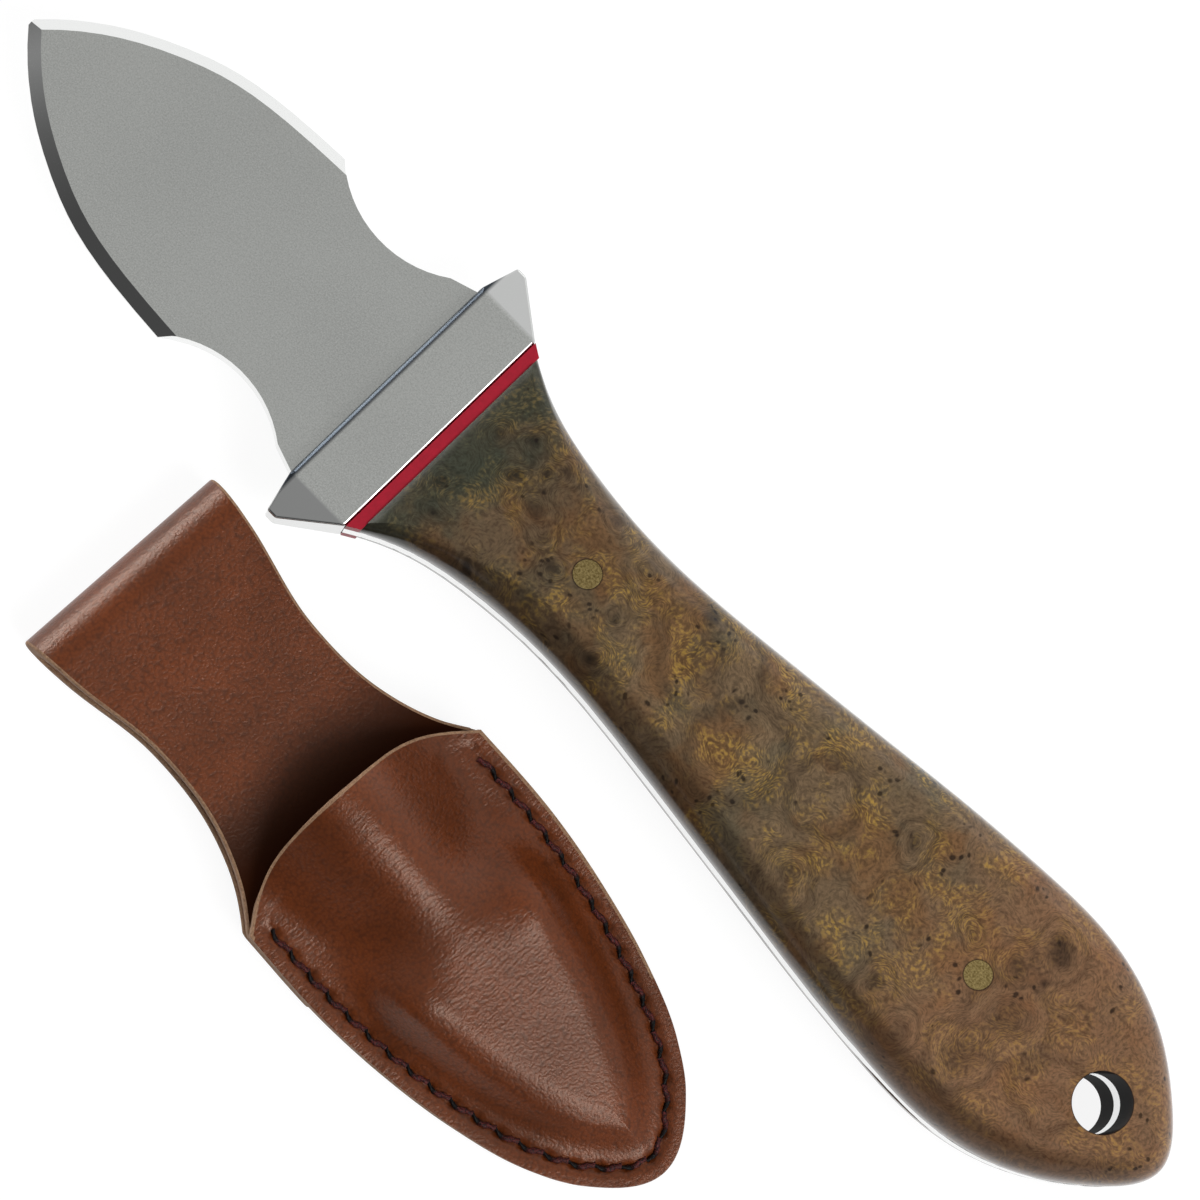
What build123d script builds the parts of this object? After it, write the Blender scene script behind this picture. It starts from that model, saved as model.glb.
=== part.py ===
from build123d import *

import os
from math import asin, atan, atan2, cos, degrees, hypot, radians, sin, sqrt, tan

# Oyster knife with its leather belt sheath, lying side by side on a table. Millimetres.
# X runs along the knife from tip to butt and Y across it, with the sheath on the -Y side.
# Z is up. The knife lies on one side, and the origin is the middle of the flat it rests on.

# Knife, along its length from the tip
knife_length = 165.0
blade_shoulder = 32.6
guard_front = 52.0
guard_length = 7.9
spacer_thickness = 1.35

# Blade and tang, cut from one sheet of steel
stock = 3.0
blade_half_width = 13.4
neck_half_width = 9.85
bevel_width = 1.35
bevel_drop = 1.2
tip_blunt = 0.35
corner_cut = 1.0
ricasso_length = 3.0
tang_shoulder = 0.2

# Guard
wing_reach = 4.4
guard_thickness = 7.4
wing_slope = 16.0
wing_sweep = 1.1
wing_tip_length = 1.2
guard_edge_round = 0.4
slot_clearance = 0.02

# Handle, with its front features placed from the guard and its rear ones from the butt
handle_half_width = 13.5
handle_front_taper = 32.7
handle_thickness = 16.0
handle_front_thickness = 8.0
handle_side_wall = 0.8
edge_round = 4.4
front_edge_round = 1.0
face_rise_length = 20.1
face_fall_length = 19.0
butt_drop = 1.1
spacer_height = 2.3
pin_diameter = 3.0
front_pin_reach = 20.6
rear_pin_setback = 27.9
lanyard_diameter = 6.4
lanyard_setback = 9.8

# Sheath, along its length from the fold
leather = 1.8
mouth_station = 37.1
neck_showing = 5.5
pouch_ease = 2.4
fold_radius = 4.5
fold_half_width = 12.76
strap_half_width = 10.2
tongue_reach = 5.4
seam_inset = 1.9
dome_gap = 0.05
dome_round = 3.4
pouch_height = 5.0
hood_height = 7.2
hood_inset = 3.0
hood_length = 16.0
tail_setback = 3.9
tail_length = 6.0
return_lift = 24.0
sheath_gap = 13.9
sheath_station = 46.5
sheath_heading = 2.5

# Thread
thread = 0.8
thread_rise = 0.3
thread_groove = 0.15
seam_stitches = 34
tail_stitches = 5
tail_stitch_pitch = 3.2

overrun = 5.0

# Half outline of the handle: station as a share of the handle's length behind the guard,
# half width as a share of its widest half width
handle_outline_shares = [
    (0.056, 0.785),
    (0.134, 0.644),
    (0.229, 0.595),
    (0.368, 0.681),
    (0.524, 0.830),
    (0.681, 0.970),
    (0.759, 1.000),
    (0.837, 0.956),
    (0.916, 0.711),
    (0.973, 0.350),
]
# How full the butt's end is, as a share of an even curve
butt_fullness_share = 0.7
# Cutting edge: station as a share of the blade's length to its shoulder, half width as a
# share of its half width there
edge_shares = [(0.123, 0.299), (0.245, 0.515), (0.368, 0.679), (0.552, 0.858), (0.767, 0.957)]
# Strap side of the sheath: station as a share of the mouth's, half width of the strap's
strap_shares = [(0.165, 1.186), (0.470, 1.000), (0.730, 1.078), (0.917, 1.343)]
# Pouch side of the sheath: station as a share of the pouch's length, half width of its own
pouch_shares = [(0.262, 0.994), (0.434, 0.936), (0.615, 0.827), (0.802, 0.635), (0.899, 0.455)]
# Half of the mouth's curved edge: station as a share of the tongue's reach behind the mouth's
# corners, half width of the pouch's
mouth_shares = [(1.0, 0.0), (0.42, 0.7), (0.0, 1.0)]
# Arch of the hood: across as a share of its half width, up as a share of its height
arch_shares = [(-1, 0), (-0.75, 0.62), (0, 1), (0.75, 0.62), (1, 0)]
# Sections of the hood: along as a share of its length, half width as a share of its first
hood_shares = [(0, 1.0), (0.45, 0.7), (0.8, 0.48), (1, 0.35)]
# Rows of stitches across the tail, as shares of its length, and the seam's first hole as a
# share of the seam
tail_row_shares = [0.3, 0.75]
first_hole_share = 0.012
# How far round the rounded edges the levels of a crowned block lie, as shares of a quarter turn
level_shares = [0.0, 0.3, 0.52, 0.7, 0.86, 1.0]
# Places along a side from its first point to its tip, closer together at the ends
side_shares = [0, 0.008, 0.03, 0.07, 0.12, 0.19, 0.28, 0.38, 0.48, 0.58, 0.68, 0.78, 0.86, 0.93, 1]

guard_rear = guard_front + guard_length
handle_length = knife_length - guard_rear
handle_front_half_width = blade_half_width + tang_shoulder
guard_half_span = handle_front_half_width + wing_reach
scale_front = guard_rear + spacer_thickness
flat_start = guard_rear + face_rise_length
flat_end = knife_length - face_fall_length
front_pin_station = guard_rear + front_pin_reach
rear_pin_station = knife_length - rear_pin_setback
lanyard_station = knife_length - lanyard_setback
half_stock = stock / 2
half_handle = handle_thickness / 2
rest_station = (flat_start + flat_end) / 2

# The pouch is made to the blade: as long as the blade less the stretch of neck that shows
pouch_length = guard_front - neck_showing
pouch_half_width = blade_half_width + pouch_ease
sheath_length = mouth_station + pouch_length
tail_start = mouth_station + tail_setback

# Planes of the knife: in plan with local X from the tip, and seen from the side
knife = Plane(origin=(-rest_station, 0, half_handle))
knife_side = Plane(origin=knife.origin, x_dir=(1, 0, 0), z_dir=(0, -1, 0))

# The sheath rests on its rolled fold and its closed end, so its back leans down to the end
lean = atan((fold_radius - leather) / (sheath_length - fold_radius)) + asin(
    fold_radius / hypot(sheath_length - fold_radius, fold_radius - leather)
)
heading = radians(sheath_heading)
sheath = Plane(
    origin=(
        sheath_station - rest_station,
        -(guard_half_span + sheath_gap),
        sheath_length * sin(lean) + leather * cos(lean),
    ),
    x_dir=(cos(lean) * cos(heading), -cos(lean) * sin(heading), -sin(lean)),
    z_dir=(sin(lean) * cos(heading), -sin(lean) * sin(heading), cos(lean)),
)
sheath_side = Plane(origin=sheath.origin, x_dir=sheath.x_dir, z_dir=-sheath.y_dir)


def finish(piece, name):
    """Label a finished piece and write it as its own STEP file."""
    piece.part.label = name
    export_step(piece.part, f"parts/{name}.step")


def mirrored(points):
    """Points of one side out to its tip on the axis, and back along the other half."""
    far_side = [(x, -y) for x, y in reversed(points[:-1])]
    return points + far_side


def share_at(side, station):
    """Share of a side's length at which it passes a station, found by halving."""
    halvings = 40
    low, high = 0.0, 1.0
    for _ in range(halvings):
        middle = (low + high) / 2
        if (side @ middle).X < station:
            low = middle
        else:
            high = middle
    return low


def inset_point(side, share, inset):
    """Point of a side moved square to it, in towards the axis."""
    place = side @ share
    along = side % share
    return (place.X + along.Y * inset, max(place.Y - along.X * inset, 0.0))


def quarter_inset(level_share, reach):
    """How far a rounded edge stands in at a share of its height, for its reach across."""
    return reach * (1 - sqrt(max(1 - level_share**2, 0.0)))


def crown(station):
    """Height of the scale's face above the middle of the tang."""
    if station >= flat_start:
        return half_handle
    rise = (flat_start - station) / (flat_start - scale_front)
    return half_handle - (half_handle - handle_front_thickness / 2) * rise**2


def rounding(station):
    """Reach of the scale's rounded edge, which is tight at the guard."""
    if station >= flat_start:
        return edge_round
    fall = (flat_start - station) / (flat_start - scale_front)
    return edge_round - (edge_round - front_edge_round) * min(fall, 1)


# Sides of the outlines, each from its front to its tip on the axis
handle_points = [
    (guard_rear + share * handle_length, width_share * handle_half_width)
    for share, width_share in handle_outline_shares
]
handle_side = Spline(
    (guard_rear, handle_front_half_width),
    *handle_points,
    (knife_length, 0),
    tangents=[(cos(radians(handle_front_taper)), -sin(radians(handle_front_taper))), (0, -1)],
    tangent_scalars=[1, butt_fullness_share],
)
pouch_side = Spline(
    (mouth_station, pouch_half_width),
    *[(mouth_station + share * pouch_length, width * pouch_half_width) for share, width in pouch_shares],
    (sheath_length, 0),
    tangents=[(1, 0), (0, -1)],
    tangent_scalars=[1, 1],
)
strap_side = Spline(
    (0, fold_half_width),
    *[(share * mouth_station, width * strap_half_width) for share, width in strap_shares],
    (mouth_station, pouch_half_width),
)
edge_points = [(share * blade_shoulder, width * blade_half_width) for share, width in edge_shares]

os.makedirs("parts", exist_ok=True)

# Blade, neck, ricasso and full tang in one piece
neck_front = blade_shoulder + corner_cut
neck_rear = guard_front - ricasso_length
neck_middle = (neck_front + neck_rear) / 2
with BuildPart() as blade_and_tang:
    with BuildSketch(knife.offset(-half_stock)):
        with BuildLine():
            Spline((0, 0), *edge_points, (blade_shoulder, blade_half_width))
            Line((blade_shoulder, blade_half_width), (neck_front, blade_half_width - corner_cut))
            ThreePointArc(
                (neck_front, blade_half_width - corner_cut),
                (neck_middle, neck_half_width),
                (neck_rear, blade_half_width - corner_cut),
            )
            Line((neck_rear, blade_half_width - corner_cut), (guard_front, blade_half_width))
            Line((guard_front, blade_half_width), (guard_rear, blade_half_width))
            Line((guard_rear, blade_half_width), (guard_rear, handle_front_half_width))
            add(handle_side)
            mirror(about=Plane.XZ)
        make_face()
    extrude(amount=stock)
    shoulder_x = blade_shoulder - rest_station
    for face in (faces().sort_by(Axis.Z)[-1], faces().sort_by(Axis.Z)[0]):
        cutting_edges = face.edges().filter_by(lambda edge: edge.center().X < shoulder_x - bevel_width)
        chamfer(cutting_edges, length=bevel_width, length2=bevel_drop, reference=face)
    with BuildSketch(knife.offset(-stock)):
        with Locations((tip_blunt / 2, 0)):
            Rectangle(tip_blunt, 2 * overrun)
    extrude(amount=2 * stock, mode=Mode.SUBTRACT)
    with BuildSketch(knife.offset(-stock)):
        with Locations((front_pin_station, 0), (rear_pin_station, 0)):
            Circle(pin_diameter / 2)
        with Locations((lanyard_station, 0)):
            Circle(lanyard_diameter / 2)
    extrude(amount=2 * stock, mode=Mode.SUBTRACT)
finish(blade_and_tang, "blade_and_tang")

# Guard: one block with a slot that the blade passes through, and a wing on each side
wing_front = guard_front + wing_sweep
wing_rear = wing_front + wing_tip_length
half_guard = guard_thickness / 2
wing_fall = (guard_half_span - handle_front_half_width) * tan(radians(wing_slope))
with BuildPart() as guard:
    with BuildSketch(knife.offset(-half_guard)):
        with BuildLine():
            Polyline(
                (guard_front, 0),
                (guard_front, handle_front_half_width),
                (wing_front, guard_half_span),
                (wing_rear, guard_half_span),
                (guard_rear, handle_front_half_width),
                (guard_rear, 0),
            )
            mirror(about=Plane.XZ)
        make_face()
    extrude(amount=guard_thickness)
    with BuildSketch(Plane(origin=knife.origin, x_dir=(0, 1, 0), z_dir=(1, 0, 0))):
        with BuildLine():
            Polyline(
                (0, half_guard),
                (handle_front_half_width, half_guard),
                (guard_half_span, half_guard - wing_fall),
                (guard_half_span, wing_fall - half_guard),
                (handle_front_half_width, -half_guard),
                (0, -half_guard),
            )
            mirror(about=Plane.YZ)
        make_face()
    extrude(amount=knife_length, both=True, mode=Mode.INTERSECT)
    crossing_edges = edges().filter_by(lambda edge: abs((edge % 0.5).Y) > sin(radians(30)))
    fillet(crossing_edges, radius=guard_edge_round)
    with BuildSketch(knife.offset(-half_stock)):
        with Locations(((guard_front + guard_rear) / 2, 0)):
            Rectangle(guard_rear - guard_front + overrun, 2 * (blade_half_width + slot_clearance))
    extrude(amount=stock, mode=Mode.SUBTRACT)
finish(guard, "guard")


# Spacers: one thin sheet on each side of the tang, as wide as the tang there
with BuildPart() as spacer_top:
    with BuildSketch(knife.offset(half_stock)):
        with BuildLine():
            spacer_rear = inset_point(handle_side, share_at(handle_side, scale_front), 0)
            Polyline(
                (guard_rear, 0),
                (guard_rear, handle_front_half_width),
                spacer_rear,
                (scale_front, 0),
            )
            mirror(about=Plane.XZ)
        make_face()
    extrude(amount=spacer_height)
finish(spacer_top, "spacer_top")

with BuildPart() as spacer_bottom:
    add(spacer_top.part)
    mirror(about=knife, mode=Mode.REPLACE)
finish(spacer_bottom, "spacer_bottom")


def scale_contour(height):
    """Points of the scale's outline at a height above the middle of the tang."""
    rise = sqrt((half_handle - height) / (half_handle - handle_front_thickness / 2))
    front = max(flat_start - rise * (flat_start - scale_front), guard_rear)
    first = share_at(handle_side, front)
    foot = half_stock + handle_side_wall
    points = []
    for side_share in side_shares:
        share = first + (1 - first) * side_share
        station = (handle_side @ share).X
        level = min(max(height - foot, 0) / (crown(station) - foot), 1)
        points.append(inset_point(handle_side, share, quarter_inset(level, rounding(station))))
    return points


with BuildPart() as scale_top:
    foot = half_stock + handle_side_wall
    rises = [(half_handle - foot) * sin(share * radians(90)) for share in level_shares]
    for height in [half_stock] + [foot + rise for rise in rises]:
        with BuildSketch(knife.offset(height)):
            with BuildLine():
                contour = scale_contour(height)
                Spline(*mirrored(contour))
                Line((contour[0][0], -contour[0][1]), contour[0])
            make_face()
    loft()
    with BuildSketch(knife.offset(half_stock)):
        with Locations((scale_front - handle_length / 2, 0)):
            Rectangle(handle_length, 2 * handle_length)
    extrude(amount=handle_thickness, mode=Mode.SUBTRACT)
    with BuildSketch(knife_side):
        with BuildLine():
            fall = Spline(
                (flat_end, half_handle),
                (knife_length + overrun, half_handle - butt_drop),
                tangents=[(1, 0), (1, -2 * butt_drop / (knife_length - flat_end))],
            )
            Polyline(
                fall @ 1,
                (knife_length + overrun, handle_thickness),
                (flat_end, handle_thickness),
                fall @ 0,
            )
        make_face()
    extrude(amount=2 * handle_half_width, both=True, mode=Mode.SUBTRACT)
    with BuildSketch(knife):
        with Locations((front_pin_station, 0), (rear_pin_station, 0)):
            Circle(pin_diameter / 2)
        with Locations((lanyard_station, 0)):
            Circle(lanyard_diameter / 2)
    extrude(amount=handle_thickness, mode=Mode.SUBTRACT)
finish(scale_top, "scale_top")

with BuildPart() as scale_bottom:
    add(scale_top.part)
    mirror(about=knife, mode=Mode.REPLACE)
finish(scale_bottom, "scale_bottom")

for pin_name, pin_station in (("front_pin", front_pin_station), ("rear_pin", rear_pin_station)):
    with BuildPart() as pin:
        with BuildSketch(knife.offset(-half_handle)):
            with Locations((pin_station, 0)):
                Circle(pin_diameter / 2)
        extrude(amount=handle_thickness)
    finish(pin, pin_name)

# Sheath
inner_radius = fold_radius - leather
down = (sin(lean), -cos(lean))
fold_foot = (fold_radius * (1 + down[0]), fold_radius * (down[1] - 1))
inner_foot = (fold_radius + inner_radius * down[0], inner_radius * down[1] - fold_radius)
lift_run = return_lift - fold_foot[0]
hood_front = mouth_station - tongue_reach - overrun
stitch_height = thread_groove + thread_rise
mouth_edge = [
    (mouth_station - reach * tongue_reach, width * pouch_half_width) for reach, width in mouth_shares
]


def seam_holes():
    """Stitch holes evenly spaced along the seam, from one mouth corner round to the other."""
    seam = Spline(*mirrored([inset_point(pouch_side, share, seam_inset) for share in side_shares]))
    step = (1 - 2 * first_hole_share) / seam_stitches
    return [seam @ (first_hole_share + step * number) for number in range(seam_stitches + 1)]


def tail_holes(row_share):
    """Stitch holes of one row across the loop's tail."""
    station = tail_start + row_share * tail_length
    across = [(number - tail_stitches / 2) * tail_stitch_pitch for number in range(tail_stitches + 1)]
    return [Vector(station, place) for place in across]


def thread_posts(base, holes):
    """Sketch of the thread where it passes through the leather."""
    with BuildSketch(base) as posts:
        with Locations(*holes):
            Circle(thread / 2)
    return posts.sketch


def thread_row(base, holes):
    """Sketch of a row of flat stitches, each from one hole to the next."""
    with BuildSketch(base) as row:
        for start, end in zip(holes, holes[1:]):
            run = end - start
            with Locations((start + end) / 2):
                SlotOverall(run.length + thread, thread, rotation=degrees(atan2(run.Y, run.X)))
    return row.sketch


def bulge(base):
    """Bulge of the pouch over the blade, with a higher hood at the mouth for the guard."""
    dome_inset = seam_inset + thread / 2 + dome_gap
    with BuildPart() as body:
        for share in level_shares:
            level = sin(share * radians(90))
            inset = dome_inset + quarter_inset(level, dome_round)
            side = [inset_point(pouch_side, place, inset) for place in side_shares]
            with BuildSketch(base.offset(level * pouch_height)):
                with BuildLine():
                    Spline((hood_front, side[0][1]), *mirrored(side), (hood_front, -side[0][1]))
                    Line((hood_front, -side[0][1]), (hood_front, side[0][1]))
                make_face()
        loft()
        for share, width_share in hood_shares:
            width = (pouch_half_width - hood_inset) * width_share
            rise = hood_height - (hood_height - pouch_height) * share
            station = hood_front + share * (hood_length + overrun)
            across = Plane(base.from_local_coords((station, 0, 0)), x_dir=base.y_dir, z_dir=base.x_dir)
            with BuildSketch(across):
                with BuildLine():
                    Spline(*[(x * width, y * rise) for x, y in arch_shares])
                    Line((-width, 0), (width, 0))
                make_face()
        loft()
    return body.part


# Thread of the pouch's seam: through both panels, sunk a little into each face
with BuildPart() as sheath_seam_stitching:
    seam = seam_holes()
    extrude(thread_posts(sheath.offset(-leather), seam), amount=2 * leather)
    extrude(thread_row(sheath.offset(leather - thread_groove), seam), amount=stitch_height)
    extrude(thread_row(sheath.offset(-leather - thread_groove / 2), seam), amount=1.5 * thread_groove)
finish(sheath_seam_stitching, "sheath_seam_stitching")

# Thread of the loop's tail: through the strap's back and the tail under it
with BuildPart() as belt_loop_stitching:
    for row_share in tail_row_shares:
        row = tail_holes(row_share)
        extrude(thread_posts(sheath.offset(-2 * leather), row), amount=2 * leather)
        extrude(thread_row(sheath.offset(-thread_groove), row), amount=stitch_height)
        extrude(thread_row(sheath.offset(-2 * leather - thread_rise), row), amount=stitch_height)
finish(belt_loop_stitching, "belt_loop_stitching")

# Back: a strap from the closed end to the fold, round it and back under itself to its sewn
# tail. The space inside the fold takes a belt.
with BuildPart() as sheath_back_panel:
    with BuildSketch(sheath_side):
        with BuildLine():
            Line((sheath_length + overrun, 0), (fold_radius, 0))
            ThreePointArc((fold_radius, 0), (0, -fold_radius), fold_foot)
            Polyline(
                fold_foot,
                (fold_foot[0] + lift_run, fold_foot[1] + lift_run * tan(lean)),
                (tail_start, -2 * leather),
                (tail_start + tail_length, -2 * leather),
                (tail_start + tail_length, -leather),
                (sheath_length + overrun, -leather),
                (sheath_length + overrun, 0),
            )
        make_face()
        with BuildLine():
            Line((tail_start, -leather), (fold_radius, -leather))
            ThreePointArc((fold_radius, -leather), (leather, -fold_radius), inner_foot)
            Polyline(
                inner_foot,
                (inner_foot[0] + lift_run, inner_foot[1] + lift_run * tan(lean)),
                (tail_start, -leather),
            )
        make_face(mode=Mode.SUBTRACT)
    extrude(amount=2 * pouch_half_width, both=True)
    with BuildSketch(sheath):
        with BuildLine():
            Line((0, 0), (0, fold_half_width))
            add(strap_side)
            add(pouch_side)
            mirror(about=Plane.XZ)
        make_face()
    extrude(amount=sheath_length, both=True, mode=Mode.INTERSECT)
    add(sheath_seam_stitching.part, mode=Mode.SUBTRACT)
    add(belt_loop_stitching.part, mode=Mode.SUBTRACT)
finish(sheath_back_panel, "sheath_back_panel")

# Front: a flat rim sewn to the back and the bulge that the blade goes into, cut to the mouth
outer_bulge = bulge(sheath.offset(leather))
inner_bulge = bulge(sheath)
with BuildPart() as sheath_front_panel:
    with BuildSketch(sheath):
        with BuildLine():
            Polyline((hood_front, 0), (hood_front, pouch_half_width), (mouth_station, pouch_half_width))
            add(pouch_side)
            mirror(about=Plane.XZ)
        make_face()
    extrude(amount=leather)
    add(outer_bulge)
    add(inner_bulge, mode=Mode.SUBTRACT)
    with BuildSketch(sheath):
        with BuildLine():
            Spline(*mirrored(list(reversed(mouth_edge))))
            Polyline(
                (mouth_station, -pouch_half_width),
                (mouth_station, -pouch_half_width - overrun),
                (0, -pouch_half_width - overrun),
                (0, pouch_half_width + overrun),
                (mouth_station, pouch_half_width + overrun),
                (mouth_station, pouch_half_width),
            )
        make_face()
    extrude(amount=hood_height + 2 * leather, mode=Mode.SUBTRACT)
    add(sheath_seam_stitching.part, mode=Mode.SUBTRACT)
finish(sheath_front_panel, "sheath_front_panel")
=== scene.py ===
"""Oyster knife with its leather belt sheath: the finished look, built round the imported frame.

The knife lies on its side on a white table with its tip towards -X, and the sheath lies beside
it on the -Y side. Every size is in millimetres until it reaches a mesh, which is in metres.
"""

import logging
import math
from bisect import bisect_right
from dataclasses import dataclass
from enum import Enum
from typing import Callable, Iterable, Sequence

import bmesh
import bpy
from mathutils import Euler, Matrix, Vector, noise
from mathutils.kdtree import KDTree

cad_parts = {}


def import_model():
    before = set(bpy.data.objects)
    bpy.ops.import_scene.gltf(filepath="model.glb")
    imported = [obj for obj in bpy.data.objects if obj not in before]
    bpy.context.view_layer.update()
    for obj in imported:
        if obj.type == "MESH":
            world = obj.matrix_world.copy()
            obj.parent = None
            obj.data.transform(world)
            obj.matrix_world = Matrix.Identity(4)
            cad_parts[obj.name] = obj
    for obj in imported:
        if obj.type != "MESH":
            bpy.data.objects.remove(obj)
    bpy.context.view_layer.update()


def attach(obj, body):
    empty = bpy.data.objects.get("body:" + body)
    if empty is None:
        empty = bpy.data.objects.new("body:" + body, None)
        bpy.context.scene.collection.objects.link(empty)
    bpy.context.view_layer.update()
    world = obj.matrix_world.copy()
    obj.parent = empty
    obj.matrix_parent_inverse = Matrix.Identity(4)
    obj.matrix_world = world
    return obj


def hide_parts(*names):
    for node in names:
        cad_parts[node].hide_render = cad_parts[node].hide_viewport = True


MM = 0.001
LOG = logging.getLogger("oyster_knife")

# points of a grid that are closer than this, in millimetres, become one
MERGE = 0.002

# settings that many shader nodes share
SMOOTH = {"interpolation_type": "SMOOTHSTEP"}
COLOURS = {"output": 2, "data_type": "RGBA"}
NUMBERS = {"data_type": "FLOAT"}
DISTANCE = {"output": "Value", "operation": "DISTANCE"}

Pair = tuple[float, float]
Point = tuple[float, float, float]
Socket = bpy.types.NodeSocket


class Body(Enum):
    """Bodies of the frame that pieces ride on."""

    KNIFE = "knife"
    SHEATH = "sheath"


class Slot(Enum):
    """Material slots of the record."""

    BLADE = "blade_steel"
    GUARD = "guard_steel"
    FIBRE = "red_fibre"
    WOOD = "burl_wood"
    BRASS = "brass"
    LEATHER = "sheath_leather"
    THREAD = "waxed_thread"


def metres(x: float, y: float, z: float) -> Vector:
    """Turn a place in millimetres into metres."""
    return Vector((x, y, z)) * MM


def linear(colour: str) -> tuple[float, float, float, float]:
    """Turn an sRGB hex value into the linear colour that a shader takes.

    Args:
        colour: six hex digits after a hash sign.

    Returns:
        Linear red, green and blue, and an alpha of 1.
    """
    channels = [int(colour[place : place + 2], 16) / 255 for place in (1, 3, 5)]
    red, green, blue = (c / 12.92 if c <= 0.04045 else ((c + 0.055) / 1.055) ** 2.4 for c in channels)
    return red, green, blue, 1.0


class Bench:
    """A node tree on which a material is put together, one node at a time."""

    def __init__(self, tree: bpy.types.NodeTree) -> None:
        """Start from an empty tree."""
        self.tree = tree
        tree.nodes.clear()

    def add(
        self, kind: str, inputs: dict | None = None, output: int | str = 0, **settings: object
    ) -> Socket:
        """Add one node with its settings and links.

        Args:
            kind: the node's type after the words ShaderNode.
            inputs: values, colours or sockets by the input's name or number.
            output: which of the node's outputs to hand back.
            settings: the node's own properties.

        Returns:
            The chosen output socket.
        """
        node = self.tree.nodes.new(f"ShaderNode{kind}")
        for name, value in settings.items():
            setattr(node, name, value)
        for key, value in (inputs or {}).items():
            if isinstance(value, Socket):
                self.tree.links.new(value, node.inputs[key])
            elif isinstance(value, str):
                node.inputs[key].default_value = linear(value)
            else:
                node.inputs[key].default_value = value
        return node.outputs[output] if len(node.outputs) else None


def smoothstep(low: float, high: float, value: float) -> float:
    """Rise smoothly from 0 at low to 1 at high, or fall where high is the smaller."""
    share = min(max((value - low) / (high - low), 0.0), 1.0)
    return share * share * (3 - 2 * share)


def bump(distance: float, reach: float) -> float:
    """Fall off smoothly from 1 with distance, to a third or so at the reach."""
    return math.exp(-((distance / reach) ** 2))


def blend(low: float, high: float, share: float) -> float:
    """Mix two numbers."""
    return low + (high - low) * share


def shaped_grid(
    shape: bmesh.types.BMesh, rows: int, columns: int, place: Callable[[float, float], Vector]
) -> None:
    """Lay a flat grid into a mesh and move each of its points to where it belongs.

    Args:
        shape: the mesh, in metres.
        rows: faces along the grid.
        columns: faces across it.
        place: point in millimetres for a share along from 0 to 1 and a share across from -1 to 1.
    """
    grid = bmesh.ops.create_grid(shape, x_segments=rows, y_segments=columns, size=1.0)
    for vertex in grid["verts"]:
        vertex.co = place((vertex.co.x + 1) / 2, vertex.co.y) * MM
    bmesh.ops.remove_doubles(shape, verts=grid["verts"], dist=MERGE * MM)


def search_tree(points: Sequence[Vector]) -> KDTree:
    """Sort flat points, so that the one nearest to a place is found fast.

    Args:
        points: the points.

    Returns:
        The tree to ask, which numbers them in their order.
    """
    tree = KDTree(len(points))
    for number, point in enumerate(points):
        tree.insert(point.to_3d(), number)
    tree.balance()
    return tree


class Trail:
    """A run of points that is followed by length."""

    def __init__(self, run: Sequence[Vector]) -> None:
        """Measure how far along each point stands.

        Args:
            run: the points in millimetres.
        """
        self.run = list(run)
        self.marks = [0.0]
        for before, after in zip(self.run, self.run[1:]):
            self.marks.append(self.marks[-1] + (after - before).length)

    @property
    def length(self) -> float:
        """Length of the whole run."""
        return self.marks[-1]

    def at(self, length: float) -> Vector:
        """Find the point at a length along the run.

        Args:
            length: how far along, in millimetres.

        Returns:
            The point there.
        """
        place = min(max(bisect_right(self.marks, length) - 1, 0), len(self.run) - 2)
        share = (length - self.marks[place]) / (self.marks[place + 1] - self.marks[place])
        return self.run[place].lerp(self.run[place + 1], min(max(share, 0.0), 1.0))


class Outline(Trail):
    """One side of a symmetric flat shape: a smooth run of points, each a station and a half width."""

    steps = 20

    def __init__(self, points: Sequence[Pair], leave: Point, arrive: Point) -> None:
        """Run a smooth curve through the points.

        Args:
            points: stations and half widths.
            leave: the curve's direction at its first point.
            arrive: its direction at its last point.
        """
        knots = [Vector(point) for point in points]
        spans = [(after - before).length for before, after in zip(knots, knots[1:])]
        slopes = [Vector(leave[:2]).normalized()]
        for number in range(1, len(knots) - 1):
            back, ahead = spans[number - 1], spans[number]
            slope = (knots[number] - knots[number - 1]) * ahead / back
            slope += (knots[number + 1] - knots[number]) * back / ahead
            slopes.append(slope / (back + ahead))
        slopes.append(Vector(arrive[:2]).normalized())
        run = [knots[0]]
        for number, span in enumerate(spans):
            for step in range(1, self.steps + 1):
                share = step / self.steps
                ease = share * share * (3 - 2 * share)
                lift = share * (1 - share) ** 2 * span
                drop = share * share * (1 - share) * span
                point = knots[number].lerp(knots[number + 1], ease)
                run.append(point + slopes[number] * lift - slopes[number + 1] * drop)
        super().__init__(run)

    def width_at(self, station: float) -> float:
        """Find the half width where the side passes a station.

        Args:
            station: place along the shape.

        Returns:
            The half width, or that of the nearer end past the ends.
        """
        for start, end in zip(self.run, self.run[1:]):
            if start.x <= station <= end.x:
                return blend(start.y, end.y, (station - start.x) / max(end.x - start.x, 1e-9))
        return self.run[-1].y if station > self.run[-1].x else self.run[0].y


def new_material(name: str) -> tuple[bpy.types.Material, Bench]:
    """Make an empty material.

    Args:
        name: what the real one is.

    Returns:
        The material and the bench to build it on.
    """
    material = bpy.data.materials.new(name)
    material.use_nodes = True
    return material, Bench(material.node_tree)


@dataclass(frozen=True)
class Window:
    """A round, soft-edged patch of bright sky.

    Args:
        toward: direction in which it stands.
        edge: cosine of the angle round that direction at which it starts.
        heart: cosine of the angle within which it is fully bright.
        gain: how much brighter than the sky it is.
    """

    toward: Point
    edge: float
    heart: float
    gain: float


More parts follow.
